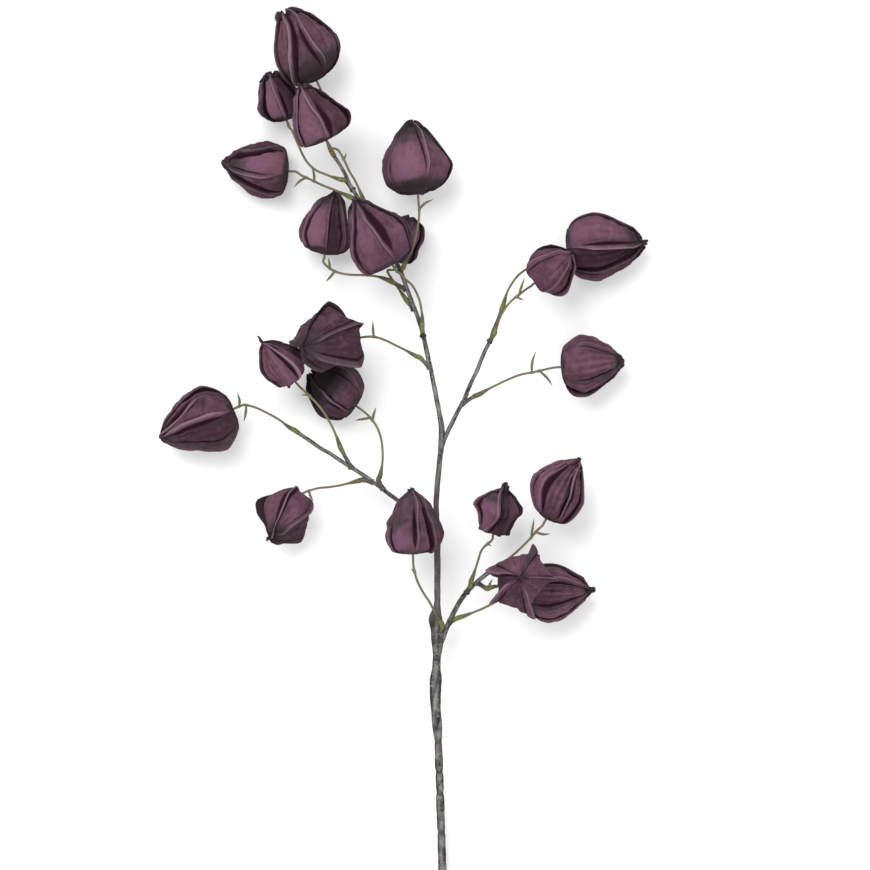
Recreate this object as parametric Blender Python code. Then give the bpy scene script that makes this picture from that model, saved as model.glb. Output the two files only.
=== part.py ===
"""A dried-look Chinese lantern stem of wire, tape, moulded twigs and cloth, lying on a flat surface.

One taped main stem carries three side branches. Each branch has short taped stubs, and a moulded
twig is pushed on each stub. Every twig ends inside the base of one hollow cloth lantern.

The tables are in millimetres. +X is the spray's right and +Y runs from the cut end to the top,
seen from above, and +Z is up. The spray rests on its cut end and on two of its lanterns.
"""
import math
import random
from collections import namedtuple

import bmesh
import bpy
from mathutils import Vector

MM = 0.001
GAP = 0.3            # clearance between pieces that touch
END_GAP = 0.5        # between the end of a stub and the twig that sits on it
SEED = 11

# Cloth lanterns
HOLE_RADIUS = 1.7    # where the twig goes in
WALL = 1.1           # cloth with its stiffening
SEAM_HALF = 0.8      # half the width of a seam fin at its root
EDGE_HALF = 0.45     # and at its free edge
SEAM_SHARE = 0.16    # most of a panel's angle that half a fin may take
FIN_LEAN = 24        # degrees, the most that a fin leans over
PANEL_STEPS = 2      # points across a panel between its seams
LOW_ANGLE = 48       # degrees round the base's rounded corner
TAPER_POWER = 1.7
TAPER_ROUND = 0.95
INNER_TOP = 0.80     # how far up the hollow reaches, as a share of the length
UPPER_STEPS = (0.38, 0.72)
PRESSED_LANTERNS = (4, 9)

# Twigs
TWIG_RADIUS = 1.0
TWIG_SIDES = 6
SLEEVE_RADIUS = 2.1
COLLAR_RADIUS = 1.9
SLEEVE_LENGTH = 15.0
TWIG_STEP = 8.0
STRAIGHT_START = 2.0  # the twig is straight where it leaves its stub
STRAIGHT_END = 6.0   # and before it enters a lantern
INSERTED = 3.0       # and reaches this far in
BRACT_WIDTH = 2.0
BRACT_THICK = 0.8
BRACT_ARCH = 0.12    # how far a bract bows, as a share of its length

# Taped stems
STEM_SIDES = 8
BRANCH_SIDES = 8
STEM_STEP = 11.0
BRANCH_STEP = 9.0
STUB_RADIUS = 1.6

Lantern = namedtuple(
    "Lantern", "number base tip radius fin flat shoulder corner belly bow seams pulls")
# number: counted from the top of the spray down
# base, tip: where the twig enters, and the point
# radius: to the seams, at the widest place; fin: how far a seam stands out there
# flat: the flat base's share of that radius; shoulder: the widest place's share of the length
# corner: how far the base's corner fills out, from 0, a straight slope, to 1, a round
# belly: 1 for panels that follow a circle round the axis, 0 for flat ones, below 0 for hollow ones
# bow: how far the body's middle lies to the right of the line from base to tip
# seams: degrees round the axis from the side that faces up, towards the right
# pulls: how far each seam is pulled out, as a share of the radius, or nothing where all are alike
LANTERNS = [
    Lantern(1, (-69, 320.5, 50), (-96, 378, 52), 24, 2.6, 0.5, 0.38, 1, 0.88, 3,
            (22, 76, 142, -148, -78, -15), ()),
    Lantern(2, (-93.5, 290, 27), (-108, 328.5, 33), 17.5, 2.2, 0.55, 0.4, 1, 0.75, 0,
            (8, 66, 138, -130, -44), ()),
    Lantern(3, (-61, 272, 69), (-83, 316.5, 74), 21.5, 2.4, 0.68, 0.3, 1, 0.85, 1,
            (14, 80, 150, -122, -38), ()),
    Lantern(4, (-92, 249.5, 19.7), (-145.5, 253, 21.7), 21.5, 2.2, 0.66, 0.34, 1, 0.85, -1,
            (60, 134, -146, -68, -11), ()),
    Lantern(5, (12, 230, 46), (8, 290, 38), 26.5, 2.4, 0.44, 0.35, 1, 1, 0,
            (18, 90, 162, -126, -54), ()),
    Lantern(6, (-63, 182, 31), (-54.5, 233.5, 31), 20, 2.2, 0.52, 0.31, 1, 0.88, -2,
            (6, 46, 104, 168, -124, -56), ()),
    Lantern(7, (-8, 172.5, 80), (-39, 226, 84), 24, 2.8, 0.74, 0.36, 1, 0.8, 1.5,
            (10, 72, 140, -122, -42), ()),
    Lantern(8, (-5, 176, 24), (6, 214, 26), 17.5, 2, 0.6, 0.4, 1, 0.75, 2,
            (62, 134, -142, -70, -5), ()),
    Lantern(9, (131, 185.5, 26.5), (194.5, 190.5, 27.5), 26.5, 2.6, 0.52, 0.36, 1, 1, -0.5,
            (54, 122, -160, -74, -4), ()),
    Lantern(10, (106.5, 160, 45), (135, 183, 62), 19, 2.2, 0.6, 0.38, 1, 0.85, 0,
            (34, 100, 172, -110, -38), ()),
    Lantern(11, (126.5, 92, 29), (177, 96.5, 31), 24, 1.8, 0.66, 0.34, 1, 0.95, 0,
            (34, 82, 146, -106, -40), ()),
    Lantern(12, (-44.5, 113, 52), (-81.5, 107, 97), 33, 3, 0.5, 0.42, 0.4, -0.3, 0,
            (21, 76, 166, -110, -32), (1.08, 0.94, 0.97, 0.66, 1.07)),
    Lantern(13, (-86.5, 80.5, 52), (-113, 112.5, 66), 17, 2.2, 0.6, 0.32, 1, 0.85, 1,
            (18, 52, 118, -162, -98, -34), ()),
    Lantern(14, (-37.5, 60.5, 28), (-76, 88.5, 28), 20, 2.4, 0.62, 0.34, 1, 0.6, 1.5,
            (36, 106, 178, -106, -34), ()),
    Lantern(15, (-136, 58.5, 30), (-194.5, 34, 32), 25.5, 2.8, 0.62, 0.24, 1, 0.75, -2,
            (32, 68, 160, -112, -44, -3), ()),
    Lantern(16, (-82.5, -12.5, 22), (-108, -45, 57), 23, 3.5, 0.45, 0.38, 0.4, 0, 0,
            (28, 108, 168, -130, -32), (0.98, 1.02, 0.82, 1.05, 0.88)),
    Lantern(17, (8, -58, 62), (6.5, -6, 66), 22.5, 2.2, 0.72, 0.31, 1, 0.85, 1,
            (6, 58, 126, -144, -58), ()),
    Lantern(18, (72.5, -41.5, 40), (81.5, -4, 56), 18, 2.6, 0.55, 0.54, 0, 0.3, 0,
            (30, 84, 176, -80, -22), (0.98, 0.94, 0.95, 1.04, 1)),
    Lantern(19, (114.5, -30, 44), (141, 18, 46), 21.5, 2.2, 0.5, 0.46, 1, 0.9, -3.5,
            (38, 80, 148, -134, -62, -28), ()),
    Lantern(20, (96.4, -80.3, 60), (93, -75, 106), 27, 5, 0.5, 0.42, 0.3, -0.55, 0,
            (61, 118, 209, 278, -24), (0.98, 0.97, 0.95, 1.01, 1.1)),
    Lantern(21, (99, -90, 26), (152, -87.5, 28), 22.5, 2, 0.55, 0.35, 1, 0.95, 0,
            (26, 66, 134, -154, -88, -26), ()),
]

# Centre lines of the taped pieces, from root to end
STEM_ROUTE = [
    (32.5, -378, 2.7), (32.5, -362.5, 2.7), (32, -338.5, 6), (31.5, -310.5, 10.5), (31, -294.5, 13),
    (30.5, -280, 15), (30, -264, 17), (29.5, -248, 19), (29, -231.5, 21), (28.5, -218.5, 22.5),
    (28, -206.5, 24), (27, -192, 26), (26, -178.5, 27.5), (26, -166.5, 29), (26.5, -154.5, 30),
    (27, -142.5, 31.5), (27.5, -133, 33), (27.5, -120, 34), (27.5, -104, 36), (27.5, -82.5, 38),
    (27.5, -58.5, 39.5), (27, -38.5, 40.5), (26.5, -18.5, 41.5), (27.5, -2.5, 42.5), (29, 13.5, 43),
    (30.5, 27, 44), (31, 40, 45), (30, 49.5, 46), (27, 65.5, 47), (24, 81.5, 48), (20.5, 97.5, 49),
    (17, 113.5, 49.5), (13, 128.5, 50), (7, 144, 50), (1.5, 159, 50), (-3, 171, 49.5),
    (-10.5, 184, 48.5), (-19, 198, 47), (-28, 214, 46), (-36, 227, 45.5), (-43, 239, 45),
    (-48, 249.5, 45), (-55, 260.5, 45),
]

RIGHT_ROUTE = [
    (31, 27, 44), (33, 33.5, 45), (36.5, 41.5, 46), (40.5, 49.5, 47), (44.5, 57.5, 48), (49, 65.5, 49),
    (52, 73.5, 50), (55.5, 81.5, 51), (59.5, 89.5, 52), (62.5, 97.5, 52.5), (66, 105.5, 53),
    (70, 113.5, 53), (72.5, 121.5, 53), (76, 129.5, 52.5), (78.5, 136.5, 52),
]

LOWER_LEFT_ROUTE = [
    (27, -38, 40.5), (21.5, -33, 39.5), (13.5, -27.5, 37.5), (5.5, -22, 35.5), (-3, -16, 34),
    (-10.5, -10.5, 33.5), (-18.5, -4.5, 33.5), (-26.5, 1.5, 34), (-34.5, 7, 34.5), (-42.5, 12, 35),
    (-50.5, 17, 35.5), (-58.5, 22.5, 36), (-66.5, 27, 36), (-75, 33, 36), (-84, 39, 35.5),
]

LOWER_RIGHT_ROUTE = [
    (28.5, -134.5, 32.5), (31.5, -126.5, 33.5), (34.5, -118.5, 34), (38, -110.5, 34.5),
    (42, -102.5, 35), (46.5, -94.5, 35.5), (52, -87.5, 36), (57, -82.5, 36.5), (61.5, -78.5, 37),
    (66.5, -74.5, 37), (72, -70.5, 37),
]

Twig = namedtuple("Twig", "number carrier root stub via bracts")
# number: its lantern's; carrier: the taped piece that it grows from
# root, stub: the taped stub's two ends, or None where the twig sits on the carrier's own end
# via: the twig's route from there; bracts: (start x, y, tip x, y, rise of the tip)
TWIGS = [
    Twig(1, "main_stem", None, None,
         [(-59, 268, 44.5), (-63, 279, 43), (-64.5, 293.5, 42), (-65, 305.5, 44), (-66, 313.5, 47)],
         [(-65.5, 312, -62.5, 308, 2)]),
    Twig(2, "main_stem", (-40, 233.5, 45), (-45, 240, 42),
         [(-49.5, 242, 40.5), (-56, 244, 38.5), (-62.5, 246.5, 36.5), (-71, 250.5, 34),
          (-78.5, 258.5, 31.5), (-84, 270, 29), (-89, 281.5, 27.5)],
         [(-91, 286, -93.5, 288.5, 1)]),
    Twig(3, "main_stem", (-29, 216, 46), (-30.5, 221, 50),
         [(-33.5, 230, 54), (-38, 240, 56), (-43, 248.5, 58), (-47, 257, 60), (-52, 265, 63)],
         [(-47, 257.5, -45.5, 263, 1)]),
    Twig(4, "main_stem", (-33.5, 223, 45.5), (-39.5, 226.5, 42.5),
         [(-46.5, 230, 38.5), (-55, 234, 34), (-65, 238, 29), (-73, 242, 25), (-81.5, 246, 21.5)],
         [(-77.5, 244, -88, 236, 1), (-72, 241.5, -73.5, 252.5, -1)]),
    Twig(5, "main_stem", (-2.5, 168, 49.5), (-0.5, 170.5, 53),
         [(2, 176, 55.5), (6.5, 184.5, 55.5), (10, 195, 53.5), (12, 205.5, 51.5), (13, 216, 49.5),
          (12.5, 223, 48)],
         [(13, 217.5, 25, 226, 2)]),
    Twig(6, "main_stem", (2, 154, 50), (-7, 159, 47),
         [(-12, 161.5, 45), (-19, 164, 42), (-29.5, 165.5, 38), (-42.5, 166, 35), (-53, 168, 32.5),
          (-60, 172, 31.5)],
         [(-54.5, 168.5, -62.5, 160, -1), (-58.5, 171, -60, 180, 2)]),
    Twig(7, "main_stem", (16, 116.5, 49.5), (15.5, 120.5, 53),
         [(15.5, 128, 55), (15, 136, 57), (13, 145.5, 60), (8, 156, 65), (1.5, 162, 70), (-3, 167, 75)],
         []),
    Twig(8, "main_stem", (8.5, 138, 50), (5, 142.5, 47),
         [(0, 149.5, 43), (-5.5, 157.5, 38), (-10, 164, 33), (-12.5, 169.5, 28)],
         []),
    Twig(9, "branch_right", None, None,
         [(80.5, 142, 50.5), (83.5, 152, 48.5), (88, 160, 46), (93.5, 166.5, 42), (101.5, 172, 35),
          (113.5, 179, 29)],
         []),
    Twig(10, "branch_right", (69, 112, 53), (72, 116.5, 55.5),
         [(74, 123, 57), (77, 130, 57), (81, 137.5, 55.5), (86, 144, 53.5), (92, 149, 51),
          (98.5, 154, 48)],
         [(93, 150, 97.5, 164, 2), (91, 148, 97, 145.5, -1)]),
    Twig(11, "branch_right", (47, 62, 48.5), (56.5, 68, 47.5),
         [(61, 70, 46.5), (68, 74, 45), (76, 78, 42.5), (85.5, 82.5, 39.5), (95, 86, 36),
          (105.5, 88, 32.5), (116, 90.5, 30)],
         [(104, 88, 107, 105.5, 2), (109.5, 89, 120, 76.5, -2)]),
    Twig(12, "main_stem", (21.5, 91, 48.5), (15.5, 97.5, 50),
         [(10.5, 100.5, 49.5), (2.5, 105, 47.5), (-5.5, 109, 44.5), (-13.5, 113, 41.5),
          (-22.5, 116, 39), (-31, 116, 39.5)],
         [(-23, 117, -24, 129.5, 2)]),
    Twig(13, "branch_lower_left", (-41.5, 11, 35), (-48.5, 24, 41),
         [(-51, 29.5, 43.5), (-54, 38, 47), (-59, 48.5, 51), (-65.5, 58.5, 53), (-73.5, 67.5, 53),
          (-81, 74.5, 52.5)],
         [(-75, 68.5, -81.5, 69, 1)]),
    Twig(14, "branch_lower_left", (-16, -6.5, 33.5), (-19, -0.5, 34.5),
         [(-18.5, 4.5, 35.5), (-16.5, 16, 36), (-16.5, 25.5, 35), (-18, 36, 33.5), (-22, 45.5, 31.5),
          (-28.5, 53.5, 29.5)],
         [(-24, 48.5, -21.5, 60, 2), (-26.5, 50.5, -39, 49, -1)]),
    Twig(15, "branch_lower_left", None, None,
         [(-86, 40.5, 35), (-92, 44, 34), (-100, 50, 33), (-109, 55, 32), (-118.5, 59.5, 31),
          (-126.5, 61.5, 30.5)],
         [(-126.5, 61, -128, 48, -2), (-132, 61.5, -133.5, 72, 3)]),
    Twig(16, "branch_lower_left", (-24, -0.5, 34), (-30.5, 1, 34.5),
         [(-34.5, 1, 34), (-42.5, -1, 31.5), (-50.5, -3, 28), (-60, -4.5, 23.5), (-69, -5.5, 18.5)],
         [(-75, -9, -72, -16, 2)]),
    Twig(17, "main_stem", (28, -126.5, 33.5), (31, -117, 40),
         [(29, -110.5, 43.5), (25, -103.5, 47), (21, -96, 50), (15.5, -87.5, 53.5), (11, -78, 56.5),
          (8.5, -68, 59)],
         [(9, -71.5, 6.5, -69, 1)]),
    Twig(18, "branch_lower_right", (51, -89, 36), (53.5, -84, 39.5),
         [(54.5, -80, 41), (57, -73, 42), (60, -63.5, 41), (63.5, -54, 38.5)],
         [(67, -47.5, 71, -51.5, 1)]),
    Twig(19, "branch_lower_right", None, None,
         [(75, -68, 37), (81.5, -64, 37.5), (89, -58, 38.5), (95, -52.5, 39.5), (101.5, -46, 41),
          (108, -38.5, 42.5)],
         [(103, -44.5, 105, -29, 3), (107.5, -40.5, 118.5, -41.5, -1)]),
    Twig(20, "branch_lower_right", (37, -113, 34.5), (41.5, -110.5, 37.5),
         [(46.5, -108.5, 38.5), (54.5, -105.5, 40), (63, -102, 41.5), (72, -97.5, 43), (81, -92, 44.5),
          (90, -85.5, 47.5)],
         []),
    Twig(21, "branch_lower_right", (59.5, -81, 37), (65, -84.5, 35),
         [(70, -85, 33.5), (75, -84, 31.5), (81, -84, 29), (88, -87, 27)],
         [(68, -84.5, 72, -77.5, 1)]),
]

# Radius of each taped piece as (distance from its root, radius), with pinched rings, a twisted
# thick part and a knot low on the main stem
STEM_GIRTH = [
    (0, 3.0), (97, 3.0), (100, 2.4), (103, 3.0), (129, 3.0), (132, 2.4), (135, 3.0),
    (146, 3.0), (149, 2.4), (152, 3.0), (171, 2.9), (174, 2.3), (178, 3.1), (192, 4.0), (208, 3.7),
    (222, 4.0), (231, 3.1), (240, 3.0), (249, 4.3), (257, 4.7), (265, 4.4), (274, 3.0), (318, 2.9),
    (343, 2.8), (352, 2.3), (402, 2.2), (412, 2.6), (424, 2.4), (436, 1.9), (560, 1.7), (700, 1.3),
]
RIGHT_GIRTH = [(0, 1.8), (60, 1.7), (130, 1.5)]
LOWER_LEFT_GIRTH = [(0, 1.7), (80, 1.6), (160, 1.5)]
LOWER_RIGHT_GIRTH = [(0, 2.2), (40, 2.0), (90, 1.6)]
TAPED = {
    "main_stem": (STEM_ROUTE, STEM_GIRTH, STEM_SIDES, STEM_STEP),
    "branch_right": (RIGHT_ROUTE, RIGHT_GIRTH, BRANCH_SIDES, BRANCH_STEP),
    "branch_lower_left": (LOWER_LEFT_ROUTE, LOWER_LEFT_GIRTH, BRANCH_SIDES, BRANCH_STEP),
    "branch_lower_right": (LOWER_RIGHT_ROUTE, LOWER_RIGHT_GIRTH, BRANCH_SIDES, BRANCH_STEP),
}

UP = Vector((0, 0, 1))


def clear_scene():
    for thing in list(bpy.data.objects):
        bpy.data.objects.remove(thing, do_unlink=True)


def finish(name, colour, roughness):
    material = bpy.data.materials.new(name)
    material.use_nodes = True
    shader = material.node_tree.nodes["Principled BSDF"]
    shader.inputs["Base Color"].default_value = (*colour, 1)
    shader.inputs["Roughness"].default_value = roughness
    shader.inputs["Metallic"].default_value = 0
    return material


def wrapped(name, around, along, place):
    """A closed piece: a grid wrapped round an axis, with a pole at both ends.

    place(i, j) gives the point in millimetres, for i round the axis and j from pole to pole.
    """
    shape = bmesh.new()
    bmesh.ops.create_grid(shape, x_segments=around, y_segments=along, size=1)
    for vert in shape.verts:
        i = round((vert.co.x + 1) / 2 * around) % around
        j = round((vert.co.y + 1) / 2 * along)
        vert.co = Vector(place(i, j)) * MM
    bmesh.ops.remove_doubles(shape, verts=shape.verts, dist=1e-7)
    bmesh.ops.recalc_face_normals(shape, faces=shape.faces)
    if shape.calc_volume(signed=True) < 0:
        bmesh.ops.reverse_faces(shape, faces=shape.faces)
    mesh = bpy.data.meshes.new(name)
    shape.to_mesh(mesh)
    shape.free()
    piece = bpy.data.objects.new(name, mesh)
    bpy.context.scene.collection.objects.link(piece)
    return piece


def blend(table, at):
    """The value at a place in a table of (place, value), with straight runs between."""
    for (low, start), (high, end) in zip(table, table[1:]):
        if at <= high:
            return start + (end - start) * max(0, at - low) / (high - low)
    return table[-1][1]


def smooth_route(points, step, marks=()):
    """Points at most a step apart on a smooth curve through the given ones, and at the marks.

    The marks are distances from the start.
    """
    points = [Vector(p) for p in points]
    padded = [2 * points[0] - points[1]] + points + [2 * points[-1] - points[-2]]
    fine = []
    for before, start, end, after in zip(padded, padded[1:], padded[2:], padded[3:]):
        parts = max(2, math.ceil((end - start).length / 1.5))
        for part in range(parts):
            t = part / parts
            fine.append(0.5 * (2 * start + (end - before) * t
                               + (2 * before - 5 * start + 4 * end - after) * t * t
                               + (3 * start - before - 3 * end + after) * t ** 3))
    fine.append(points[-1])
    lengths = [0.0]
    for one, two in zip(fine, fine[1:]):
        lengths.append(lengths[-1] + (two - one).length)
    stops = [0.0] + [mark for mark in marks if 0 < mark < lengths[-1] - 1] + [lengths[-1]]
    wanted = [0.0]
    for low, high in zip(stops, stops[1:]):
        count = max(1, math.ceil((high - low) / step - 0.01))
        wanted += [low + (high - low) * number / count for number in range(1, count + 1)]
    route = []
    place = 0
    for distance in wanted:
        while place < len(fine) - 2 and lengths[place + 1] < distance:
            place += 1
        share = (distance - lengths[place]) / (lengths[place + 1] - lengths[place])
        route.append(fine[place].lerp(fine[place + 1], min(1, share)))
    return route


def turning_frames(route):
    """A tangent and two cross directions at each point, turned as little as possible."""
    frames = []
    down = -UP
    for number, point in enumerate(route):
        before = route[max(0, number - 1)]
        after = route[min(len(route) - 1, number + 1)]
        tangent = (after - before).normalized()
        down = (down - tangent * down.dot(tangent)).normalized()
        frames.append((tangent, down, tangent.cross(down)))
    return frames


def tube(name, route, girth, sides):
    """A closed tube along a route; girth(distance from its start) is its radius there."""
    frames = turning_frames(route)
    spans = [0.0]
    for one, two in zip(route, route[1:]):
        spans.append(spans[-1] + (two - one).length)

    def place(i, j):
        if j == 0:
            return route[0]
        if j > len(route):
            return route[-1]
        angle = math.tau * (i + 0.5) / sides
        _, down, side = frames[j - 1]
        radius = girth(spans[j - 1])
        return route[j - 1] + radius * (math.cos(angle) * down + math.sin(angle) * side)

    return wrapped(name, sides, len(route) + 1, place)


def applied(piece):
    """Puts the piece's modifiers into its mesh."""
    evaluated = piece.evaluated_get(bpy.context.evaluated_depsgraph_get())
    mesh = bpy.data.meshes.new_from_object(evaluated)
    piece.modifiers.clear()
    piece.data = mesh
    return piece


def fused(piece, others):
    """One Boolean union of a piece with the others, which are removed."""
    if not others:
        return piece
    group = bpy.data.collections.new(piece.name + "_parts")
    bpy.context.scene.collection.children.link(group)
    for other in others:
        group.objects.link(other)
    union = piece.modifiers.new("union", "BOOLEAN")
    union.operation = "UNION"
    union.operand_type = "COLLECTION"
    union.collection = group
    union.solver = "EXACT"
    applied(piece)
    for other in others:
        bpy.data.objects.remove(other, do_unlink=True)
    bpy.data.collections.remove(group)
    return piece


def cut_by(piece, cutter):
    """Takes the cutter's space out of a piece, and removes the cutter."""
    cut = piece.modifiers.new("cut", "BOOLEAN")
    cut.operation = "DIFFERENCE"
    cut.object = cutter
    cut.solver = "EXACT"
    applied(piece)
    bpy.data.objects.remove(cutter, do_unlink=True)
    return piece


def press_flat(piece):
    """Flattens the spot where a piece dips below the surface that it lies on."""
    shape = bmesh.new()
    shape.from_mesh(piece.data)
    bmesh.ops.bisect_plane(
        shape, geom=shape.verts[:] + shape.edges[:] + shape.faces[:], dist=1e-7,
        plane_co=(0, 0, 0), plane_no=(0, 0, -1), clear_outer=True)
    open_edges = [edge for edge in shape.edges if edge.is_boundary]
    bmesh.ops.holes_fill(shape, edges=open_edges, sides=0)
    bmesh.ops.recalc_face_normals(shape, faces=shape.faces)
    if shape.calc_volume(signed=True) < 0:
        bmesh.ops.reverse_faces(shape, faces=shape.faces)
    shape.to_mesh(piece.data)
    shape.free()


def axes_of(row):
    """A lantern's axis, the cross direction that faces up, and the one to its right."""
    axis = (Vector(row.tip) - Vector(row.base)).normalized()
    top = (UP - axis * UP.dot(axis)).normalized()
    return axis, top, axis.cross(top)


def ray(angle, top, right):
    """The direction at an angle round a lantern's axis, from the side that faces up."""
    return math.cos(angle) * top + math.sin(angle) * right


def outline(row):
    """Rings from the hollow's top to the tip: (kind, share of radius, share of length, fin share)."""
    low = math.radians(LOW_ANGLE)
    length = (Vector(row.tip) - Vector(row.base)).length
    filled = row.corner * math.sin(low) + (1 - row.corner) * (1 - math.cos(low))
    rings = [
        ("inside", 0.0, INNER_TOP, 0.0),
        ("inside", 0.97, row.shoulder + 0.04, 0.0),
        ("inside", row.flat, WALL / length, 0.0),
        ("hole", 0.0, 0.0, 0.0),
        ("outside", row.flat, 0.0, 0.35),
        ("outside", row.flat + (1 - row.flat) * filled, row.shoulder * (1 - math.cos(low)), 0.8),
        ("outside", 1.0, row.shoulder, 1.0),
    ]
    for share in UPPER_STEPS:
        radius = (1 - share ** TAPER_POWER) ** TAPER_ROUND
        rings.append(("outside", radius, row.shoulder + (1 - row.shoulder) * share, 1 - 0.6 * share))
    rings.append(("outside", 0.0, 1.0, 0.0))
    return rings


def lantern(row, cloth):
    """A hollow cloth lantern: panels between seams whose edges stand out as fins."""
    base = Vector(row.base)
    length = (Vector(row.tip) - base).length
    axis, top, right = axes_of(row)
    rings = outline(row)
    seams = [angle % 360 for angle in row.seams]
    pulls = row.pulls or [1] * len(seams)
    dice = random.Random(SEED + row.number)
    leans = [math.radians(dice.uniform(-FIN_LEAN, FIN_LEAN)) for _ in seams]
    steps = 4 + PANEL_STEPS

    def place(i, j):
        kind, share, height, fin = rings[j]
        seam = i // steps
        role = i % steps
        after = (seam + 1) % len(seams)
        here = math.radians(seams[seam])
        panel = math.radians((seams[after] - seams[seam]) % 360)
        previous = math.radians((seams[seam] - seams[seam - 1]) % 360)
        centre = base + axis * height * length
        if kind == "hole":
            start = stop = HOLE_RADIUS
        else:
            centre += right * row.bow * math.sin(math.pi * height)
            start = row.radius * share * pulls[seam]
            stop = row.radius * share * pulls[after]
        if kind == "inside":
            start = max(0, start - WALL)
            stop = max(0, stop - WALL)
        half = SEAM_SHARE * min(panel, previous)
        if start > 0:
            half = min(half, SEAM_HALF / start)
        if role in (1, 2) and kind == "outside" and fin > 0:
            tall = row.fin * fin
            outward = start + tall * math.cos(leans[seam])
            aside = tall * math.sin(leans[seam]) + (-EDGE_HALF, EDGE_HALF)[role - 1]
            return centre + outward * ray(here, top, right) + aside * ray(here + math.pi / 2, top, right)
        if role < 4:
            return centre + start * ray(here + (-half, -half / 2, half / 2, half)[role], top, right)
        across = (role - 3) / (PANEL_STEPS + 1)
        first = start * ray(here + half, top, right)
        last = stop * ray(here + panel - half, top, right)
        flat = first.lerp(last, across)
        angle = here + half + (panel - 2 * half) * across
        arc = (start + (stop - start) * across) * ray(angle, top, right)
        return centre + flat + row.belly * (arc - flat)

    piece = wrapped("lantern_%02d" % row.number, steps * len(seams), len(rings) - 1, place)
    piece.data.materials.append(cloth)
    return piece


def taped(name, extra=0.0):
    """A taped wire, without its stubs, or the same shape grown all round to cut its neighbours."""
    points, girth, sides, step = TAPED[name]
    route = smooth_route(points, step, [distance for distance, _ in girth])
    return tube(name, route, lambda distance: blend(girth, distance) + extra, sides)


def stub(row):
    """A short taped stub that a twig is pushed on."""
    route = [Vector(row.root), (Vector(row.root) + Vector(row.stub)) / 2, Vector(row.stub)]
    return tube("stub_%02d" % row.number, route, lambda _: STUB_RADIUS, BRANCH_SIDES)


def twig_start(row):
    """Where a twig begins, and the way it points there."""
    if row.root:
        end = Vector(row.stub)
        way = (end - Vector(row.root)).normalized()
    else:
        points, _, _, step = TAPED[row.carrier]
        route = smooth_route(points, step)
        end = route[-1]
        way = (route[-1] - route[-2]).normalized()
    return end + way * END_GAP, way


def twig_route(row, lamp):
    """From its stub, along the given points, and straight into its lantern's base."""
    start, way = twig_start(row)
    axis = axes_of(lamp)[0]
    base = Vector(lamp.base)
    points = [start, start + STRAIGHT_START * way] + [Vector(p) for p in row.via]
    points += [base - STRAIGHT_END * axis, base - 0.4 * STRAIGHT_END * axis, base + INSERTED * axis]
    return smooth_route(points, TWIG_STEP, [0.7 * STRAIGHT_START])


def twig_girth(distance):
    """A sleeve that tapers into the thin twig."""
    if distance >= SLEEVE_LENGTH:
        return TWIG_RADIUS
    if distance < SLEEVE_LENGTH * 0.3:
        return COLLAR_RADIUS + (SLEEVE_RADIUS - COLLAR_RADIUS) * distance / (SLEEVE_LENGTH * 0.3)
    return SLEEVE_RADIUS + (TWIG_RADIUS - SLEEVE_RADIUS) * (distance / SLEEVE_LENGTH - 0.3) / 0.7


def bract(route, start_x, start_y, tip_x, tip_y, rise):
    """A thin pointed leaf scale that grows out of a twig."""
    root = min(route, key=lambda p: math.hypot(p.x - start_x, p.y - start_y))
    tip = Vector((tip_x, tip_y, root.z + rise))
    length = (tip - root).length
    way = (tip - root).normalized()
    side = way.cross(UP).normalized()
    top = side.cross(way)
    widths = (0.55, 1.0, 0.6)

    def place(i, j):
        if j == 0:
            return root - 0.5 * way
        if j > len(widths):
            return tip
        share = j / (len(widths) + 1)
        middle = root.lerp(tip, share) + top * BRACT_ARCH * length * math.sin(math.pi * share)
        half = widths[j - 1] / 2
        return middle + half * (BRACT_WIDTH * side, BRACT_THICK * top, -BRACT_WIDTH * side, -BRACT_THICK * top)[i]

    return wrapped("bract", 4, len(widths) + 1, place)


def twig(row, lamp, plastic):
    """A moulded twig with its sleeve and bracts, as one body."""
    route = twig_route(row, lamp)
    piece = tube("twig_%02d" % row.number, route, twig_girth, TWIG_SIDES)
    fused(piece, [bract(smooth_route(route, 1), *shape) for shape in row.bracts])
    if row.root:
        cut_by(piece, taped(row.carrier, GAP))
    piece.data.materials.clear()
    piece.data.materials.append(plastic)
    return piece


def main():
    clear_scene()
    cloth = finish("plum_cloth", (0.105, 0.045, 0.070), 0.85)
    tape = finish("grey_tape", (0.075, 0.070, 0.066), 0.8)
    plastic = finish("olive_plastic", (0.21, 0.18, 0.05), 0.55)

    lamps = {row.number: row for row in LANTERNS}
    for row in LANTERNS:
        piece = lantern(row, cloth)
        if row.number in PRESSED_LANTERNS:
            press_flat(piece)

    for name in TAPED:
        piece = taped(name)
        stubs = [stub(row) for row in TWIGS if row.carrier == name and row.root]
        fused(piece, stubs)
        if name == "main_stem":
            press_flat(piece)
        else:
            cut_by(piece, taped("main_stem", GAP))
        piece.data.materials.clear()
        piece.data.materials.append(tape)

    for row in TWIGS:
        twig(row, lamps[row.number], plastic)


main()
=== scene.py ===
"""The Chinese lantern stem as it is seen: plum cloth lanterns on olive twigs, and a taped wire stem.

The tables are in millimetres, in the part's own frame, and every finished mesh is in metres. Each
piece here stands for one solid of the part and keeps its place and its main form.
"""
import math
import random
from collections import namedtuple
from functools import partial

import bmesh
import bpy
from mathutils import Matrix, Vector, noise


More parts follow.
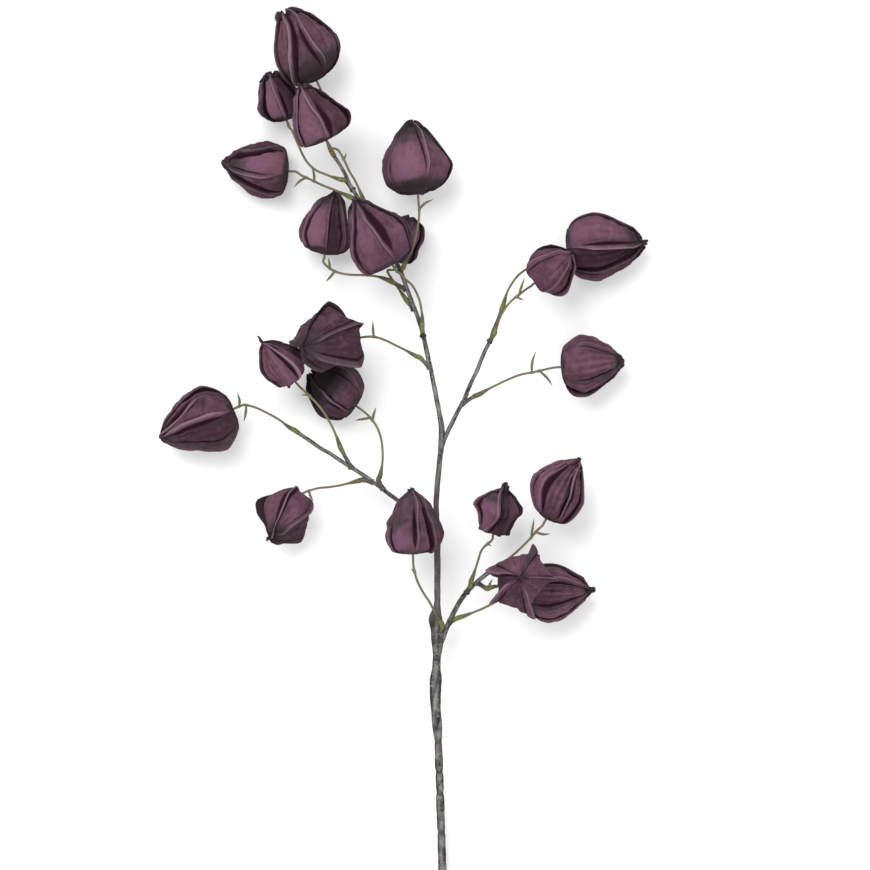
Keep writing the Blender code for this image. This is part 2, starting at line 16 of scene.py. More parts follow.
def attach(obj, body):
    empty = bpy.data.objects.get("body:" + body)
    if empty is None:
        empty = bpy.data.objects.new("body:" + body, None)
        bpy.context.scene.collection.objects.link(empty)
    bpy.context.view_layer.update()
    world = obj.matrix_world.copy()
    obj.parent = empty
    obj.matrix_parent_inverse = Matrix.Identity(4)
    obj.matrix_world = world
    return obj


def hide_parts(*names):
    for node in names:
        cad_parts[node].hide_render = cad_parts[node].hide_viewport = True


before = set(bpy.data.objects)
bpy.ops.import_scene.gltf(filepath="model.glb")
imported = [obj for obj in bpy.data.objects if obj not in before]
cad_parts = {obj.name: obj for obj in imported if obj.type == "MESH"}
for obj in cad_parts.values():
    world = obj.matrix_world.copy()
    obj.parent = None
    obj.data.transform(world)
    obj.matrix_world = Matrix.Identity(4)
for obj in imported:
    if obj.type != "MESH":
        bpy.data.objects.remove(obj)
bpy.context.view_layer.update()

MM = 0.001
SEED = 11
UP = Vector((0, 0, 1))
CURVE_STEP = 0.7      # between the points that a smooth curve is first worked out at
POLE_MERGE = 1e-7     # in metres, under which the points of a pole become one


# ---------------------------------------------------------------- the lanterns' sizes

Lantern = namedtuple(
    "Lantern", "number base tip radius flat shoulder corner belly bow seams pulls", defaults=((),))
# number: counted from the top of the spray down
# base, tip: where the twig enters, and the point
# radius: to the seams, at the widest place
# flat: the flat base's share of that radius; shoulder: the widest place's share of the length
# corner: how far the base's corner fills out, from 0, a straight slope, to 1, a round
# belly: 1 for panels that follow a circle round the axis, 0 for flat ones, below 0 for hollow ones
# bow: how far the body's middle lies to the right of the line from base to tip
# seams: degrees round the axis from the side that faces up, towards the right
# pulls: how far each seam is pulled out, as a share of the radius, where they aren't all alike
LANTERNS = [
    Lantern(1, (-69, 320.5, 50), (-96, 378, 52), 24, 0.5, 0.38, 1, 0.88, 3, (22, 76, 142, -148, -78, -15)),
    Lantern(2, (-93.5, 290, 27), (-108, 328.5, 33), 17.5, 0.55, 0.4, 1, 0.75, 0, (8, 66, 138, -130, -44)),
    Lantern(3, (-61, 272, 69), (-83, 316.5, 74), 21.5, 0.68, 0.3, 1, 0.85, 1, (14, 80, 150, -122, -38)),
    Lantern(4, (-92, 249.5, 19.7), (-145.5, 253, 21.7), 21.5, 0.66, 0.34, 1, 0.85, -1,
            (60, 134, -146, -68, -11)),
    Lantern(5, (12, 230, 46), (8, 290, 38), 26.5, 0.44, 0.35, 1, 1, 0, (18, 90, 162, -126, -54)),
    Lantern(6, (-63, 182, 31), (-54.5, 233.5, 31), 20, 0.52, 0.31, 1, 0.88, -2,
            (6, 46, 104, 168, -124, -56)),
    Lantern(7, (-8, 172.5, 80), (-39, 226, 84), 24, 0.74, 0.36, 1, 0.8, 1.5, (10, 72, 140, -122, -42)),
    Lantern(8, (-5, 176, 24), (6, 214, 26), 17.5, 0.6, 0.4, 1, 0.75, 2, (62, 134, -142, -70, -5)),
    Lantern(9, (131, 185.5, 26.5), (194.5, 190.5, 27.5), 26.5, 0.52, 0.36, 1, 1, -0.5,
            (54, 122, -160, -74, -4)),
    Lantern(10, (106.5, 160, 45), (135, 183, 62), 19, 0.6, 0.38, 1, 0.85, 0, (34, 100, 172, -110, -38)),
    Lantern(11, (126.5, 92, 29), (177, 96.5, 31), 24, 0.66, 0.34, 1, 0.95, 0, (34, 82, 146, -106, -40)),
    Lantern(12, (-44.5, 113, 52), (-81.5, 107, 97), 33, 0.5, 0.42, 0.4, -0.3, 0, (21, 76, 166, -110, -32),
            (1.08, 0.94, 0.97, 0.66, 1.07)),
    Lantern(13, (-86.5, 80.5, 52), (-113, 112.5, 66), 17, 0.6, 0.32, 1, 0.85, 1,
            (18, 52, 118, -162, -98, -34)),
    Lantern(14, (-37.5, 60.5, 28), (-76, 88.5, 28), 20, 0.62, 0.34, 1, 0.6, 1.5,
            (36, 106, 178, -106, -34)),
    Lantern(15, (-136, 58.5, 30), (-194.5, 34, 32), 25.5, 0.62, 0.24, 1, 0.75, -2,
            (32, 68, 160, -112, -44, -3)),
    Lantern(16, (-82.5, -12.5, 22), (-108, -45, 57), 23, 0.45, 0.38, 0.4, 0, 0, (28, 108, 168, -130, -32),
            (0.98, 1.02, 0.82, 1.05, 0.88)),
    Lantern(17, (8, -58, 62), (6.5, -6, 66), 22.5, 0.72, 0.31, 1, 0.85, 1, (6, 58, 126, -144, -58)),
    Lantern(18, (72.5, -41.5, 40), (81.5, -4, 56), 18, 0.55, 0.54, 0, 0.3, 0, (30, 84, 176, -80, -22),
            (0.98, 0.94, 0.95, 1.04, 1)),
    Lantern(19, (114.5, -30, 44), (141, 18, 46), 21.5, 0.5, 0.46, 1, 0.9, -3.5,
            (38, 80, 148, -134, -62, -28)),
    Lantern(20, (96.4, -80.3, 60), (93, -75, 106), 27, 0.5, 0.42, 0.3, -0.55, 0, (61, 118, 209, 278, -24),
            (0.98, 0.97, 0.95, 1.01, 1.1)),
    Lantern(21, (99, -90, 26), (152, -87.5, 28), 22.5, 0.55, 0.35, 1, 0.95, 0,
            (26, 66, 134, -154, -88, -26)),
]
STARRY = 0.5          # a lantern with less belly than this is a star, whose flaps stand out as fins

# Rings along a lantern, and points round it
CORNER_RINGS = 9
UPPER_RINGS = 60
UPPER_CROWDING = 1.25  # how much closer together the rings are near the tip
DIP_POINTS = 5
PANEL_POINTS = 15

# Its shape from base to tip
TAPER_POWER = 1.7
TAPER_ROUND = 0.95
TIP_BLUNT = 1.5       # how much thicker than a plain point the tip is
ENTRY_RADIUS = 1.5    # the hole that the twig goes into
ENTRY_DEPTH = 4.5
ENTRY_LIP = 0.35
ENTRY_STEPS = ((0.0, ENTRY_DEPTH), (ENTRY_RADIUS, ENTRY_DEPTH), (ENTRY_RADIUS, 1.0),
               (ENTRY_RADIUS + ENTRY_LIP, 0.2))
BASE_SHARES = (0.12, 0.3, 0.5, 0.7, 0.87, 0.96)  # the base's rings, between the hole and the rim
BASE_DOME = 2.6       # how far the base swells towards the twig
DIMPLE = 0.7          # how far the middle of the base is drawn in
GATHERS = 2.5         # the small gathers there, in each panel, and how deep they are
GATHER_DEPTH = 0.35
SCALLOP = 2.6         # how far the rim of the base waves between the seams
NOTCH = 4.5           # how far the panels end short of the flaps at the tip
FULL_FIN = 0.6        # the fin, of those in FINS, from which they end that far short

# Its flaps and creases
FLAP_HALF = 0.5       # half a flap's thickness, which is two layers of cloth
FLAP_SWAY = 9         # degrees, how far a flap's lean changes on its way to the tip
FLAP_COVER = 1.35     # how far the dip under a flap reaches, over what the flap covers
SLIT_GAIN = 1.15      # the crease at its widest, over its named width
DIP_SHARE = 0.46      # most of a panel's width that one flap's dip may take
TIP_SLANT = 2.5       # how far back a flap's outer corner is cut at the tip
SHORT_FOLD = 0.6      # a fold whose crease ends below this share of the length ends there too
LATE_FOLD = 0.3       # and one whose crease starts at or above this share starts there too
FOLD_LEFT = 0.2       # what is left of a flap where its fold has ended
# The points over a flap: how far up it, which side of it, and how much painted light the cloth has there,
# as a painted highlight along its edge
FLAP = ((0.03, -1, 0), (0.18, -1, 0), (0.55, -1, 0.1), (0.82, -1, 0.5), (0.97, -0.8, 1), (0.9, 0, 0.2),
        (0.97, 0.8, 1), (0.82, 1, 0.5), (0.55, 1, 0.1), (0.18, 1, 0), (0.03, 1, 0))

# The panels between them
PLEAT_COUNT = 4.5
PLEAT_DRIFT = (1.5, 3)  # how far the pleats stray sideways, and how often on their way up
SAG_POWER = 1.3       # how far a hollow keeps to the middle of its panel
WAVES = ((0.8, 0.05), (0.4, 0.15))  # slow waves in the cloth: how high, and how close together
WRINKLES = ((2.2, 0.2, 0.17, -1), (0.9, 0.25, 0.42, 1))  # how deep, how often, how close, which drift
WRINKLE_STRETCH = 0.8  # how far they are drawn out along the lantern, from 0 to 1
NOISE_STEP = (7.3, 3.1)  # what sets each lantern's waves apart from the last one's
CREASE_IN = 0.8       # how wide a small crease is on its dark side, and on its light one
CREASE_OUT = 2.4

# Where along a lantern things come in or end, as shares of its length
NOTCH_START = (0.84, 1)
SLANT_START = (0.86, 1)
FIN_START = (0.6, 0.98)
FOLD_START = (0.15, 0.2)  # a fold grows from so far before its crease's start to so far after it
FOLD_END = 0.25       # and one that ends shrinks over this much after its crease's end
SAG_START = (0.02, 0.35)
SAG_END = (0.75, 1)
PLEAT_START = (0.1, 0.4)
SCALLOP_END = (0.0, 0.16)
CREASE_START = 0.2
CREASE_END = (0.85, 1)
SPRAY_START = 0.4
FULL_CLOTH = (1.5, 9)  # the unevenness comes in between these radii, in millimetres

# Free ends of flaps: small blades of cloth
BLADE_STATIONS = 8
BLADE_SIDES = 12
BLADE_HALF = 0.55
BLADE_ROUND = 0.72    # the share of its length from which a blade's end is rounded
BLADE_RAGGED = 0.45
BLADE_WEAVE = 0.6     # millimetres of weave between its points
# A blade's marks: no crease shade, a painted highlight on its edges, its spray, and its shade
BLADE_MARKS = (0.0, 0.35, 0.95, 0.45)
TUFT_ROOT = 4.5       # how far below the tip a tuft starts
TUFT_REACH = 3        # how far from the axis its lantern's pulled outline takes it for
TUFT_LEAN = 0.6       # how far it leans over, for its fold's own lean
TUFT_LONG = (0.2, 1)  # ranges: its length and width, for its lantern's own, and how far out it ends
TUFT_WIDE = (0.8, 1.2)
TUFT_OUT = (-0.2, 1.3)
HEEL_WIDTH = 2.4
HEEL_ROOT = (6, 0.6)  # a heel's two ends, over the rim and outwards
HEEL_END = (-1.6, 0.8)

# What is drawn by chance, each from its range: the fold of a seam that has none of its own, from its
# lean to where its crease starts and ends, then how a flap sways, and the small creases of a panel
FOLD_RANGES = ((32, 54), (4.5, 6.5), (0.8, 2.8), (0.2, 0.9), (0.3, 0.6), (0, 0.2), (0.7, 1.1))
Sway = namedtuple("Sway", "rate phase kink")
# rate, phase: of its lean, along the lantern; kink: how far its end is pushed along at the tip
SWAY_RANGES = ((0.7, 1.5), (0, math.tau), (-2.5, 2.5))
Crease = namedtuple("Crease", "spot drift depth start")
# spot: the share of the panel's width; drift: how far it leans; start: where along the length
CREASE_RANGES = ((0.3, 0.7), (-0.3, 0.3), (0.5, 1.3), (0.1, 0.6))
CREASES = 2

# Marks of the cloth: painted shade in its creases, hollows, hole and tip, its painted edge highlight, its
# spray, which is partly painted shade, and its painted light and shade
ENTRY_MARKS = (0.6, 0.0, 0.9, 0.2)
TIP_MARKS = (0.6, 0.0, 1.0, 0.3)


# ---------------------------------------------------------------- each lantern's own folds and marks

Fold = namedtuple("Fold", "lean width slit soot shade sag open", defaults=(0, (0.08, 0.95)))
# lean: degrees that a seam's flap lies over, towards the right where it is above 0
# width, slit: of the flap, and of the open crease beside it
# spray and shade: how dark the flap is sprayed, up to 1, partly as painted shade, or below 0 how much
# painted light it has
# shade: the painted light and shade of the panel to the right of the seam, from 0 to 1; sag: how far it is
# hollowed
# open: where the crease starts and ends, as shares of the length from the base
FOLDS = {
    1: {22: Fold(50, 5.5, 2.6, 0.1, 0.45, 0, (0.12, 0.8)), 76: Fold(-45, 6.5, 1.6, 0.6, 0.45),
        -78: Fold(38, 6.5, 1.6, 0.3, 0.4), -15: Fold(-36, 8, 3.8, -0.15, 0.2, 2.5, (0.0, 1.05))},
    2: {8: Fold(-50, 5, 2.6, 0, -0.05, 1.5, (0.05, 0.7)), 66: Fold(-45, 7, 1.2, 0.7, 0.3),
        -44: Fold(38, 7, 1.6, 0.8, 1.0)},
    3: {14: Fold(-48, 5.5, 3.8, 0, 0.2, 0, (0.0, 0.7)), 80: Fold(-48, 7, 1.6, 0.7, 0.3),
        -38: Fold(42, 4.0, 0.6, 0, 0.8)},
    4: {60: Fold(30, 6.5, 5.0, 0.6, 0.3, 0, (0.1, 1.1)),
        -68: Fold(-28, 6.5, 5.0, 0.6, 0.25, 0, (0.1, 1.1)),
        -11: Fold(-50, 4.5, 1.2, 0, 1.0, 0, (0.3, 1.0))},
    5: {18: Fold(48, 5, 1.6, -0.1, 0.55, 0, (0.25, 0.95)), 90: Fold(-45, 6, 1.6, 0.7, 0.3),
        -54: Fold(-60, 3, 0.4, 0.4, 1.05)},
    6: {6: Fold(-25, 4, 1.4, 0.3, 0.05, 2), 46: Fold(48, 5, 1.8, 0.2, 0.15),
        -56: Fold(-44, 6, 4.4, 0.2, 1.1, 0, (0.0, 0.8))},
    7: {10: Fold(-56, 6.5, 4.6, 0.25, 0.45, 0, (0.15, 1.0)),
        72: Fold(-44, 7.5, 3.6, 0.6, 0.3, 0, (0.0, 1.1)),
        -42: Fold(-42, 6, 4.8, 0.35, 0.5, 0, (0.05, 1.1))},
    8: {62: Fold(-40, 6, 2.0, 0.8, 0.45), -5: Fold(40, 5, 1.4, 0.5, 0.6)},
    9: {54: Fold(-35, 7, 2.2, 0.5, 0.35, 0, (0.0, 1.0)), -74: Fold(30, 5, 0.8, 0.4, 0.75),
        -4: Fold(56, 4.5, 2.0, -0.1, -0.35, 7, (0.2, 0.95))},
    10: {34: Fold(52, 3, 0.3, 0.1, 0.3, 1.5), 100: Fold(-40, 6, 0.5, 0.2, 0.5),
         -38: Fold(-46, 5, 1.0, 0.2, 0.45, 2.5, (0.15, 0.85))},
    11: {34: Fold(42, 5, 1.8, 0.7, 0.5, 0, (0.25, 1.0)), 82: Fold(-40, 6, 1.0, 0.6, 0.5),
         -40: Fold(-50, 4.5, 1.2, 0.3, 0.55, 0, (0.3, 1.0))},
    12: {21: Fold(-38, 6.5, 3.0, 0.35, 0.12, 1.5), 76: Fold(-20, 4.5, 1.2, 0.8, 0.3),
         -32: Fold(-40, 6.5, 3.0, 0.45, 0.1, 1.5), -110: Fold(-20, 5, 2, 0.5, 0.15),
         166: Fold(15, 5, 1.5, 0.5, 0.45)},
    13: {18: Fold(54, 8, 3.2, -0.35, 0.5, 1), 52: Fold(-30, 2.5, 0.6, 0.2, 0.3),
         -34: Fold(-60, 2, 0.2, 0.1, 0.75, 0, (0.05, 0.5)), -98: Fold(30, 5, 1.0, 0.5, 0.5)},
    14: {36: Fold(46, 6, 1.0, 0.4, 0.35), -34: Fold(46, 7, 2.8, 0.1, 0.25, 0, (0.1, 0.5)),
         -106: Fold(30, 6, 1.2, 0.9, 0.2)},
    15: {32: Fold(-50, 6.5, 3.4, -0.2, 0.25, 1, (0.45, 1.0)), 68: Fold(-34, 6, 1.2, 0.3, 0.5),
         -44: Fold(-40, 6, 1.4, 0.7, -0.1, 2), -3: Fold(50, 5.5, 2.6, -0.15, 0.4, 1.5, (0.15, 1.0))},
    16: {28: Fold(-24, 4.5, 5.0, -0.2, 0.7), 108: Fold(20, 6, 2.2, 1.3, 0.15, 0, (0.3, 0.58)),
         -32: Fold(-34, 4, 1.0, 0.3, 0.5, 1.5), -130: Fold(-20, 4.5, 0.8, 0.7, 0)},
    17: {6: Fold(44, 3.5, 3.4, 0.1, 0.5, 0, (0.12, 0.75)),
         58: Fold(34, 7, 5.4, 0.45, 0.35, 0, (-0.05, 1.0)),
         -58: Fold(-40, 6, 4.0, 0.2, 0.6, 0, (-0.05, 0.5))},
    18: {30: Fold(-8, 3, 0.6, 0.8, 0.5), 84: Fold(-10, 3.5, 1, 1.0, 0.5),
         -80: Fold(15, 4, 0.6, 0.15, 1.15), -22: Fold(-40, 6, 3.4, -0.15, 0.15, 5, (-0.1, 0.8))},
    19: {38: Fold(-40, 6.5, 2.0, -0.1, 0.6, 1.5, (0.1, 0.9)), 80: Fold(-40, 6, 1, 0.3, 0.5),
         -62: Fold(-44, 5, 1.2, 0, 0.75, 0, (0.1, 0.7)), -28: Fold(-48, 6, 4, 0.1, 0.25, 2, (0.05, 1.0))},
    20: {61: Fold(-20, 5, 1.8, 0.3, 0.5), 118: Fold(42, 8, 2.0, 0.6, 0.65),
         209: Fold(58, 9, 2.2, 0.2, 0.1), 278: Fold(-28, 7, 2, 0, 0.1), -24: Fold(42, 7, 2.4, 0.2, 0.55)},
    21: {26: Fold(46, 6, 2.0, 0.5, 0.9), 66: Fold(-36, 6, 1.2, 0.2, 0.7),
         -26: Fold(-50, 5.5, 2.0, 0.2, 0.4), -88: Fold(30, 6, 1.2, 0.6, 0.5)},
}
# How deep the fine pleats of some lanterns are
PLEATED = {9: 0.25, 11: 0.4, 19: 0.5, 21: 0.35}
# Where the tip's dark spray starts, as a share of the length, and how dark it is, where that isn't 1
TIP_SPRAY = {
    2: 0.8, 3: 0.8, 4: 0.45, 5: 0.48, 6: 0.55, 9: 0.58, 10: 0.85, 13: 0.85, 14: 0.25, 15: 0.65, 16: 0.58,
    17: 0.15, 18: 0.5, 19: 0.85, 20: 0.85,
}
TIP_SPRAY_USUAL = 0.68
DARKENED = {4: 0.85, 9: 1.1, 14: 1.5, 17: 0.45, 18: 0.55}
# How high the base's spray reaches, and how dark it is; near the base this is partly painted shade
BASE_SPRAY_AND_SHADE = {
    1: (0.35, 1.2), 2: (0.16, 1), 4: (0.1, 0.9), 5: (0.2, 1), 6: (0.12, 1), 8: (0.3, 1), 17: (0.1, 0.8),
    21: (0.2, 0.8),
}
BASE_SPRAY_AND_SHADE_USUAL = (0.1, 0.45)
# How straight the sides run to the tip, where that isn't as TAPER_POWER has it
TAPER = {
    1: 1.5, 3: 1.3, 4: 1.5, 5: 1.35, 6: 1.4, 7: 1.4, 9: 1.35, 11: 1.5, 13: 1.5, 15: 1.3, 17: 1.25,
    19: 1.25,
}
# How wide the flaps stay where they end at the tip, as a share of their width
FINS = {
    1: 1.0, 2: 0.8, 3: 0.6, 4: 0.6, 5: 0.95, 6: 0.45, 7: 0.5, 8: 0.35, 9: 0.55, 10: 0.4, 11: 0.5, 12: 0.5,
    13: 0.4, 14: 0.6, 15: 0.4, 16: 0.6, 17: 0.3, 18: 0.6, 19: 0.5, 20: 0.7, 21: 0.5,
}
# Flaps that are pulled out locally: where along the length, how far that spreads, and by how much
EARS = {
    3: {80: (0.3, 0.1, 3)},
    5: {90: (0.35, 0.12, 1.5)},
    11: {82: (0.15, 0.1, 3)},
    16: {108: (0.42, 0.2, 3.5)},
    18: {84: (0.7, 0.12, 2), -80: (0.6, 0.15, 1)},
    20: {209: (0.45, 0.3, 2)},
}
# How many degrees to the right a seam is turned at the base, and how many it bows out halfway up
VEERS = {
    1: {22: (10, -17), -15: (-55, 0), -78: (-25, 0)},
    2: {-44: (-10, -14)},
    3: {-38: (-25, -18)},
    4: {60: (0, -14), -68: (0, 14)},
    7: {-42: (-30, -22)},
    12: {21: (10, 0)},
    15: {32: (0, 10)},
    17: {58: (0, -18)},
    18: {-22: (-25, 30)},
}
# How wide a lantern is along its length, as a share of what its taper gives
WAISTS = {
    16: ((0, 1), (0.45, 1), (0.75, 0.86), (1, 1)),
    18: ((0, 1.05), (0.3, 0.88), (0.42, 0.86), (0.54, 0.96), (0.7, 0.98), (0.85, 0.85), (1, 0.8)),
}
# How full single panels are, by the seam before them, where that differs from their lantern's
BELLIES = {
    12: {76: 0.2},
    16: {28: 0.5, -130: 0.2},
    20: {118: 0.25},
}
# How the cloth is pulled out of line: the share of the length, and how far, in millimetres, the left
# edge stands out there, the middle lies to the right, and the right edge stands out
OUTLINES = {
    1: ((0, 0, 0, -3), (0.2, 0, 0, 3), (0.6, 3, 0, 4), (0.85, 0, 1, 3.5), (1, 0, 0, 0)),
    2: ((0, -2, 0, 0), (0.3, 2.5, 0, 0), (0.6, -1, 0, 0), (1, 2, 0, 2)),
    3: ((0, 4, 0, 1.5), (0.25, 0, 0, 4.5), (0.5, 1, 0, 2.5), (1, 0, 0, 1)),
    4: ((0, 0, 0, 0), (0.25, 1.5, 0, 2.5), (0.65, 1, 1, 4), (1, -3, 3, 4)),
    5: ((0, 2, 0, -3), (0.35, 0, 0, 2.5), (0.65, 3, 0, 0), (1, 2, -2, -2.5)),
    6: ((0, 2, 0, 0), (0.6, 2, 0, 0), (0.85, 0, 0, 0)),
    7: ((0, 1, 0, 0), (0.2, 4, 0, 1), (0.5, 2, 0, 2.5), (0.75, 0, 0, 0)),
    8: ((0, 0, 0, 0), (0.4, 0, 0, -4.5), (0.65, 0, 0, 0), (0.85, 0, 0, 4), (1, 0, 0, 2)),
    9: ((0.3, 0.5, 0, 0), (0.55, 3.5, 0, 0.5), (0.75, 3, 0, 3), (1, 4, -1, 0)),
    11: ((0, -3.5, 0, -4), (0.2, -2, 0, -2), (0.45, 1.5, 0, 0), (1, 2, 0, 1.5)),
    13: ((0, 0, 0, -2), (0.2, -4, 0, 0), (0.6, 2, 0, 0), (0.85, -2, 0, -2)),
    14: ((0, 0, 0, 0), (0.15, -1, 0, -1), (0.4, 4, 0, 2), (0.7, 2, 0, 3), (1, 0, 0, 0)),
    15: ((0, -4, 0, -6), (0.12, -1, 0, -3), (0.3, 3, 2, 6.5), (0.6, 2, 4, 10.5), (0.85, 3, 2, 7),
         (1, 0, 1, 2)),
    16: ((0, 2, 0, 3), (0.3, 3, 0, -1), (0.6, 1, 0, -3), (1, 0, 0, -6)),
    17: ((0, -2, 0, 0), (0.35, 1.5, 0, 3), (0.6, 2.5, 0, 3.5), (0.85, 4, 0, 4), (1, 1, 0, 1)),
    19: ((0, -3, 0, 0), (0.15, -3, 0, 0), (0.3, 1, 0, 0), (0.75, 2.5, 0, 1), (1, 0, 0, 0)),
    21: ((0, 0, 0, 0), (0.3, -1.5, 0, 2.5), (0.6, 0, 0, 1), (0.85, -2, 0, -1.5), (1, 1, 0, -1)),
}
OUTLINE_BLUR = 0.06   # the share of the length over which those steps run into each other
# How long and wide the tufts at the tip are, and the seams whose flaps end free at the base
TUFTS = {
    2: (0.6, 2.0), 3: (2.5, 1.6), 4: (1.5, 1.9), 5: (0.8, 1.9), 6: (0.4, 1.5), 9: (3.0, 1.8),
    11: (1.2, 1.9), 13: (7.0, 1.1), 15: (1.2, 1.7), 16: (4.5, 1.5), 17: (2.5, 1.4), 18: (5.0, 2.6),
    19: (2.0, 1.6), 20: (3.0, 1.6), 21: (3.0, 1.8),
}
HEELS = {5: (-54,), 13: (-34,), 17: (58,), 18: (-80, 84)}


# ---------------------------------------------------------------- the twigs' sizes

BROWN_SLEEVES = (3, 11, 14, 16, 19)
TWIG_RADIUS = 0.95
TWIG_ROUGHNESS = 0.08
TWIG_SIDES = 12
TWIG_STEP = 1.5
TWIG_SEED = 3         # times SEED, so that a twig's draws aren't its lantern's
SLEEVE_RADIUS = 2.1
SLEEVE_LENGTH = 15.0
SLEEVE_BORE = 1.68    # over a stub of 1.6
SLEEVE_OVERLAP = 1.6  # how far the collar reaches back over the stub
SLEEVE_RIBS = 0.12    # how far its three ribs stand out
SLEEVE_FADE = (6, SLEEVE_LENGTH + 4)  # where its mottled green runs out
COLLAR_RADIUS = 1.95
COLLAR_EDGE = 0.02    # how much wider the bore is at the collar's toothed edge
END_GAP = 0.5
STRAIGHT_START = 2.0
STRAIGHT_END = 6.0
INSERTED = 3.0
JOINT_SWELL = (0.45, 1.3)  # how far a twig thickens at a bract, and over what length
RUST_SPOTS = 2        # the rusty spots on a twig, and how far each spreads
RUST_SPREAD = 5.0
RUST_CLEAR = (18, 24, 12)  # one lies from 18 along the twig to 24, or to 12 short of its end
BROWN_END = (10, 24)  # where a brown sleeve's brown fades, and how much of the green is left in it
BROWN_LEFT = 0.45
GRAIN_TURNS = 6.0     # flat coordinates of the grain for one turn round the twig
CARRIER_STEP = 9.0    # how far before its end a carrier's own direction is taken
BRACT_STATIONS = 9
BRACT_SIDES = 8
BRACT_HALF = (0.55, 0.05, 1.1)  # half its width: at least, more for each millimetre long, and at most
BRACT_THICK = 0.28
BRACT_FOLD = 0.28     # how far its edges stand over its middle, for their distance from it
BRACT_ARCH = 0.14     # how far it arches up, and at most how far it bends aside, for its length
BRACT_BEND = 0.12
BRACT_ROOT = 0.4      # how far behind the twig's middle it starts

Twig = namedtuple("Twig", "number carrier root stub via bracts")
